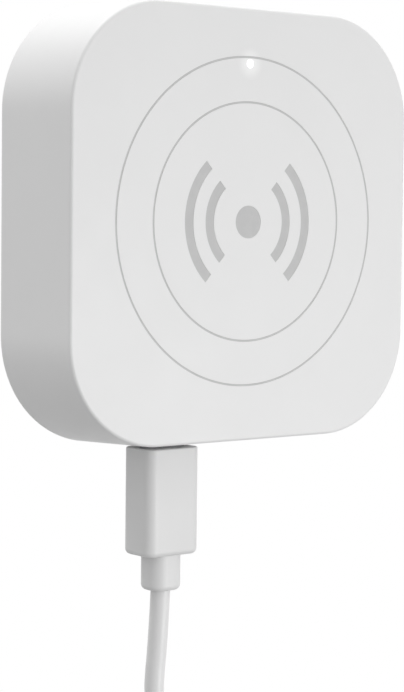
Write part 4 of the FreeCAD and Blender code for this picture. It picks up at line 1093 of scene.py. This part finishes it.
class SENSOR_OT_supply_plug(bpy.types.Operator):
    """Makes the supply plug: relief, grip and metal shell"""

    bl_idname = "sensor.supply_plug"
    bl_label = "Supply plug"

    def execute(self, context):
        plug = context.scene.sensor_plug
        plastic = bpy.data.materials["grip_satin"]
        plating = brushed_metal("plug_plating", (0.60, 0.59, 0.58), roughness=0.28)
        low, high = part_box("supply_relief")
        centre = middle("supply_relief")
        foot = (high.x - low.x) / 2
        neck = context.scene.sensor_cord.diameter / 2 + plug.neck_wall
        out, down = RELIEF_BEND
        profile = [(0.0, high.z), (neck - plug.neck_edge, high.z), (neck, high.z - plug.neck_edge),
                   (neck + out * (foot - neck), high.z - down * (high.z - low.z)),
                   (foot, low.z + plug.foot_edge), (foot, low.z), (0.0, low.z)]
        bm = bmesh.new()
        turned_solid(bm, profile, Vector((centre.x, centre.y, 0)), (0, 0, 1))
        new_piece("supply_collar", bm, (plastic,), replaces=("supply_relief",))
        low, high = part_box("supply_grip")
        bm = bmesh.new()
        moulded_block(bm, low, high, plug.supply_corner, ((high.z, plug.end_round), (low.z, plug.end_round)))
        new_piece("supply_body", bm, (plastic,), replaces=("supply_grip",))
        shell = new_piece("supply_metal", supply_metal(plug), (plating,),
                          replaces=("supply_shell",))
        combine(shell, supply_cut_outs(plug), "DIFFERENCE")
        return {"FINISHED"}


# Cable and tie


def coil_turns(cord):
    """Points of the coil: turns that lie side by side round a circle in the bundle's section."""
    count = round(cord.turn_points * cord.wound / math.radians(360))
    points = []
    for number in range(count + 1):
        wound = cord.wound * number / count
        around = cord.enter + wound
        across = cord.shift * wound / math.radians(360)
        reach = cord.coil_radius + cord.bundle * math.cos(across)
        points.append(COIL_CENTRE + Vector((reach * math.sin(around), cord.bundle * math.sin(across),
                                            reach * math.cos(around))))
    return points


def cable_jacket(cord):
    """Smooth white cable jacket."""
    finish = Finish("cable_jacket", cord.jacket, roughness=0.38)
    finish.mottle(grain=0.009, spread=0.008)
    finish.uneven_gloss(grain=0.004, low=0.34, high=0.43)
    finish.bump(finish.noise(0.0006, detail=2.0), depth=0.000008)
    return finish.material


class SENSOR_OT_cable(bpy.types.Operator):
    """Makes the cable, from the strain relief through its coil to the supply plug"""

    bl_idname = "sensor.cable"
    bl_label = "Cable"

    def execute(self, context):
        cord = context.scene.sensor_cord
        points = [CORD_START + Vector(point) for point in CORD_ROUTE]
        points += coil_turns(cord)
        points += [COIL_CENTRE + Vector(point) for point in TAIL_ROUTE]
        curve = bpy.data.curves.new("cable", "CURVE")
        curve.dimensions = "3D"
        spline = curve.splines.new("NURBS")
        spline.points.add(len(points) - 1)
        for point, place in zip(spline.points, points):
            point.co = (*place, 1.0)
        spline.order_u = 3
        spline.use_endpoint_u = True
        spline.resolution_u = 4
        curve.bevel_depth = cord.diameter / 2
        curve.bevel_resolution = 6
        curve.use_fill_caps = True
        curve.materials.append(cable_jacket(cord))
        cable = bpy.data.objects.new("cable", curve)
        context.scene.collection.objects.link(cable)
        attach(cable, CASE_BODY)
        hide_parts("cord", "cord_coil", "cord_tail")
        return {"FINISHED"}


class SENSOR_OT_tie(bpy.types.Operator):
    """Makes the woven tie around the coil"""

    bl_idname = "sensor.tie"
    bl_label = "Tie"
    section_steps: IntProperty(name="Steps", description="Divisions around the band", default=64, min=12)

    def execute(self, context):
        cord = context.scene.sensor_cord
        outer = cord.bundle + cord.diameter / 2 + cord.tie_gap + cord.tie_thick
        sweep = cord.tie_width / cord.coil_radius
        soft = 0.3 * cord.tie_thick
        bm = bmesh.new()
        turn = Matrix.Rotation(-cord.tie_up - sweep / 2, 4, "Y")
        start = Matrix.Translation(COIL_CENTRE) @ turn @ Matrix.Translation((cord.coil_radius, 0, 0))
        ring = bmesh.ops.create_circle(bm, segments=self.section_steps, radius=outer, matrix=start)["verts"]
        edges = list({edge for vert in ring for edge in vert.link_edges})
        bmesh.ops.spin(bm, geom=ring + edges, cent=COIL_CENTRE, axis=(0, 1, 0), angle=sweep, steps=8)
        bmesh.ops.recalc_face_normals(bm, faces=bm.faces)
        bmesh.ops.solidify(bm, geom=bm.faces[:], thickness=cord.tie_thick)
        rims = [edge for edge in bm.edges if self.on_rim(edge, cord, sweep)]
        round_edges(bm, rims, soft, segments=4)
        bmesh.ops.recalc_face_normals(bm, faces=bm.faces)
        layer = bm.loops.layers.uv.new("UVMap")
        for face in bm.faces:
            for loop in face.loops:
                spot = loop.vert.co - COIL_CENTRE
                from_axis = math.hypot(spot.x, spot.z)
                around = math.atan2(spot.y, from_axis - cord.coil_radius) * outer
                loop[layer].uv = (around, math.atan2(spot.z, spot.x) * cord.coil_radius)
        new_piece("cable_tie", bm, (tie_fabric(cord),), replaces=("cord_tie",))
        return {"FINISHED"}

    @staticmethod
    def on_rim(edge, cord, sweep):
        """Whether both ends of an edge lie at one end of the sweep."""
        turns = [math.atan2(vert.co.z - COIL_CENTRE.z, vert.co.x - COIL_CENTRE.x) - cord.tie_up
                 for vert in edge.verts]
        return all(abs(abs(turn) - sweep / 2) < SAME_TURN for turn in turns)


# Stage


def floor_finish(stage):
    """Pale floor that keeps the part's shadow and turns white further away."""
    finish = Finish("floor_pale", stage.floor_grey, roughness=0.75)
    finish.mottle(grain=0.05, spread=0.008)
    finish.bump(finish.noise(0.002), depth=0.00002)
    distance = finish.node("VectorMath", operation="LENGTH")
    finish.join(finish.place, distance.inputs[0])
    far = finish.ranged(distance.outputs["Value"], stage.fade_start, stage.fade_end, 0.0, 1.0)
    path = finish.node("LightPath")
    seen = finish.maths("MAXIMUM", path.outputs["Is Camera Ray"], path.outputs["Is Glossy Ray"])
    seen = finish.maths("MAXIMUM", seen, path.outputs["Is Transmission Ray"])
    white = finish.node("Emission")
    white.inputs["Color"].default_value = WHITE
    white.inputs["Strength"].default_value = 1.0
    blend = finish.node("MixShader")
    finish.join(finish.maths("MULTIPLY", far, seen), blend.inputs["Fac"])
    finish.join(finish.shader.outputs["BSDF"], blend.inputs[1])
    finish.join(white.outputs["Emission"], blend.inputs[2])
    finish.join(blend.outputs["Shader"], finish.nodes["Material Output"].inputs["Surface"])
    share = finish.ranged(path.outputs["Is Diffuse Ray"], 0.0, 1.0, 1.0, stage.bounce)
    paint = finish.shader.inputs["Base Color"]
    dimmed = finish.node("VectorMath", operation="SCALE")
    finish.join(paint.links[0].from_socket, dimmed.inputs[0])
    finish.join(share, dimmed.inputs["Scale"])
    finish.join(dimmed.outputs[0], paint)
    return finish.material


def room_world(stage):
    """Soft white light from all round, in front of a white background."""
    world = bpy.data.worlds.new("room")
    world.use_nodes = True
    nodes = world.node_tree.nodes
    links = world.node_tree.links
    path = nodes.new("ShaderNodeLightPath")
    seen = path.outputs["Is Camera Ray"]
    for ray in ("Is Glossy Ray", "Is Transmission Ray"):
        larger = nodes.new("ShaderNodeMath")
        larger.operation = "MAXIMUM"
        links.new(seen, larger.inputs[0])
        links.new(path.outputs[ray], larger.inputs[1])
        seen = larger.outputs["Value"]
    level = nodes.new("ShaderNodeMapRange")
    level.inputs["To Min"].default_value = stage.room
    level.inputs["To Max"].default_value = 1.0
    links.new(seen, level.inputs["Value"])
    background = nodes["Background"]
    background.inputs["Color"].default_value = WHITE
    links.new(level.outputs["Result"], background.inputs["Strength"])
    return world


def soft_lamp(name, power, side, spot, aim):
    """A large square lamp that stands at one place and points at another."""
    data = bpy.data.lights.new(name, "AREA")
    data.energy = power
    data.size = side
    lamp = bpy.data.objects.new(name, data)
    lamp.location = spot
    lamp.visible_camera = False
    lamp.rotation_euler = (Vector(aim) - Vector(spot)).to_track_quat("-Z", "Y").to_euler()
    bpy.context.scene.collection.objects.link(lamp)


class SENSOR_OT_stage(bpy.types.Operator):
    """Sets the floor, the room's light, two soft lamps and the camera"""

    bl_idname = "sensor.stage"
    bl_label = "Stage"

    def execute(self, context):
        stage = context.scene.sensor_stage
        bm = bmesh.new()
        level = Matrix.Translation((0, 0, -stage.floor_down))
        bmesh.ops.create_grid(bm, x_segments=2, y_segments=2, size=stage.floor_side / 2, matrix=level)
        mesh = bpy.data.meshes.new("floor")
        bm.to_mesh(mesh)
        bm.free()
        mesh.materials.append(floor_finish(stage))
        floor = bpy.data.objects.new("floor", mesh)
        context.scene.collection.objects.link(floor)
        context.scene.world = room_world(stage)
        soft_lamp("key_lamp", stage.key, stage.key_side, stage.key_place, stage.key_aim)
        soft_lamp("top_lamp", stage.top, stage.top_side, stage.top_place, stage.top_aim)
        data = bpy.data.cameras.new("camera")
        data.lens = stage.lens
        data.clip_start = 0.01
        camera = bpy.data.objects.new("camera", data)
        yaw = Matrix.Rotation(-stage.yaw, 4, "Z")
        pitch = Matrix.Rotation(math.radians(90) + stage.pitch, 4, "X")
        roll = Matrix.Rotation(stage.roll, 4, "Z")
        camera.matrix_world = Matrix.Translation(stage.eye) @ yaw @ pitch @ roll
        context.scene.collection.objects.link(camera)
        context.scene.camera = camera
        context.scene.view_settings.view_transform = "Standard"
        return {"FINISHED"}


# Panel and registration

STEPS = (
    SENSOR_OT_stage,
    SENSOR_OT_front_housing,
    SENSOR_OT_light_guide,
    SENSOR_OT_rear_cover,
    SENSOR_OT_pairing_button,
    SENSOR_OT_inner_parts,
    SENSOR_OT_plug,
    SENSOR_OT_supply_plug,
    SENSOR_OT_tie,
    SENSOR_OT_cable,
)


class SENSOR_PT_sidebar(bpy.types.Panel):
    """Lists the steps and their settings"""

    bl_idname = "SENSOR_PT_sidebar"
    bl_label = "Presence Sensor"
    bl_space_type = "VIEW_3D"
    bl_region_type = "UI"
    bl_category = "Presence Sensor"

    def draw(self, context):
        for step in STEPS:
            self.layout.operator(step.bl_idname)
        for name in GROUPS:
            box = self.layout.box()
            settings = getattr(context.scene, name)
            for key in settings.bl_rna.properties.keys():
                if key not in ("rna_type", "name"):
                    box.prop(settings, key)


GROUPS = {
    "sensor_case": CaseSizes,
    "sensor_light": LightSizes,
    "sensor_plug": PlugSizes,
    "sensor_cord": CordSizes,
    "sensor_stage": StageSettings,
}


def register():
    for name, group in GROUPS.items():
        bpy.utils.register_class(group)
        setattr(bpy.types.Scene, name, PointerProperty(type=group))
    for item in STEPS + (SENSOR_PT_sidebar,):
        bpy.utils.register_class(item)


def unregister():
    for item in reversed(STEPS + (SENSOR_PT_sidebar,)):
        bpy.utils.unregister_class(item)
    for name, group in reversed(GROUPS.items()):
        delattr(bpy.types.Scene, name)
        bpy.utils.unregister_class(group)


def main():
    register()
    for step in STEPS:
        family, name = step.bl_idname.split(".")
        getattr(getattr(bpy.ops, family), name)()


if __name__ == "__main__":
    main()
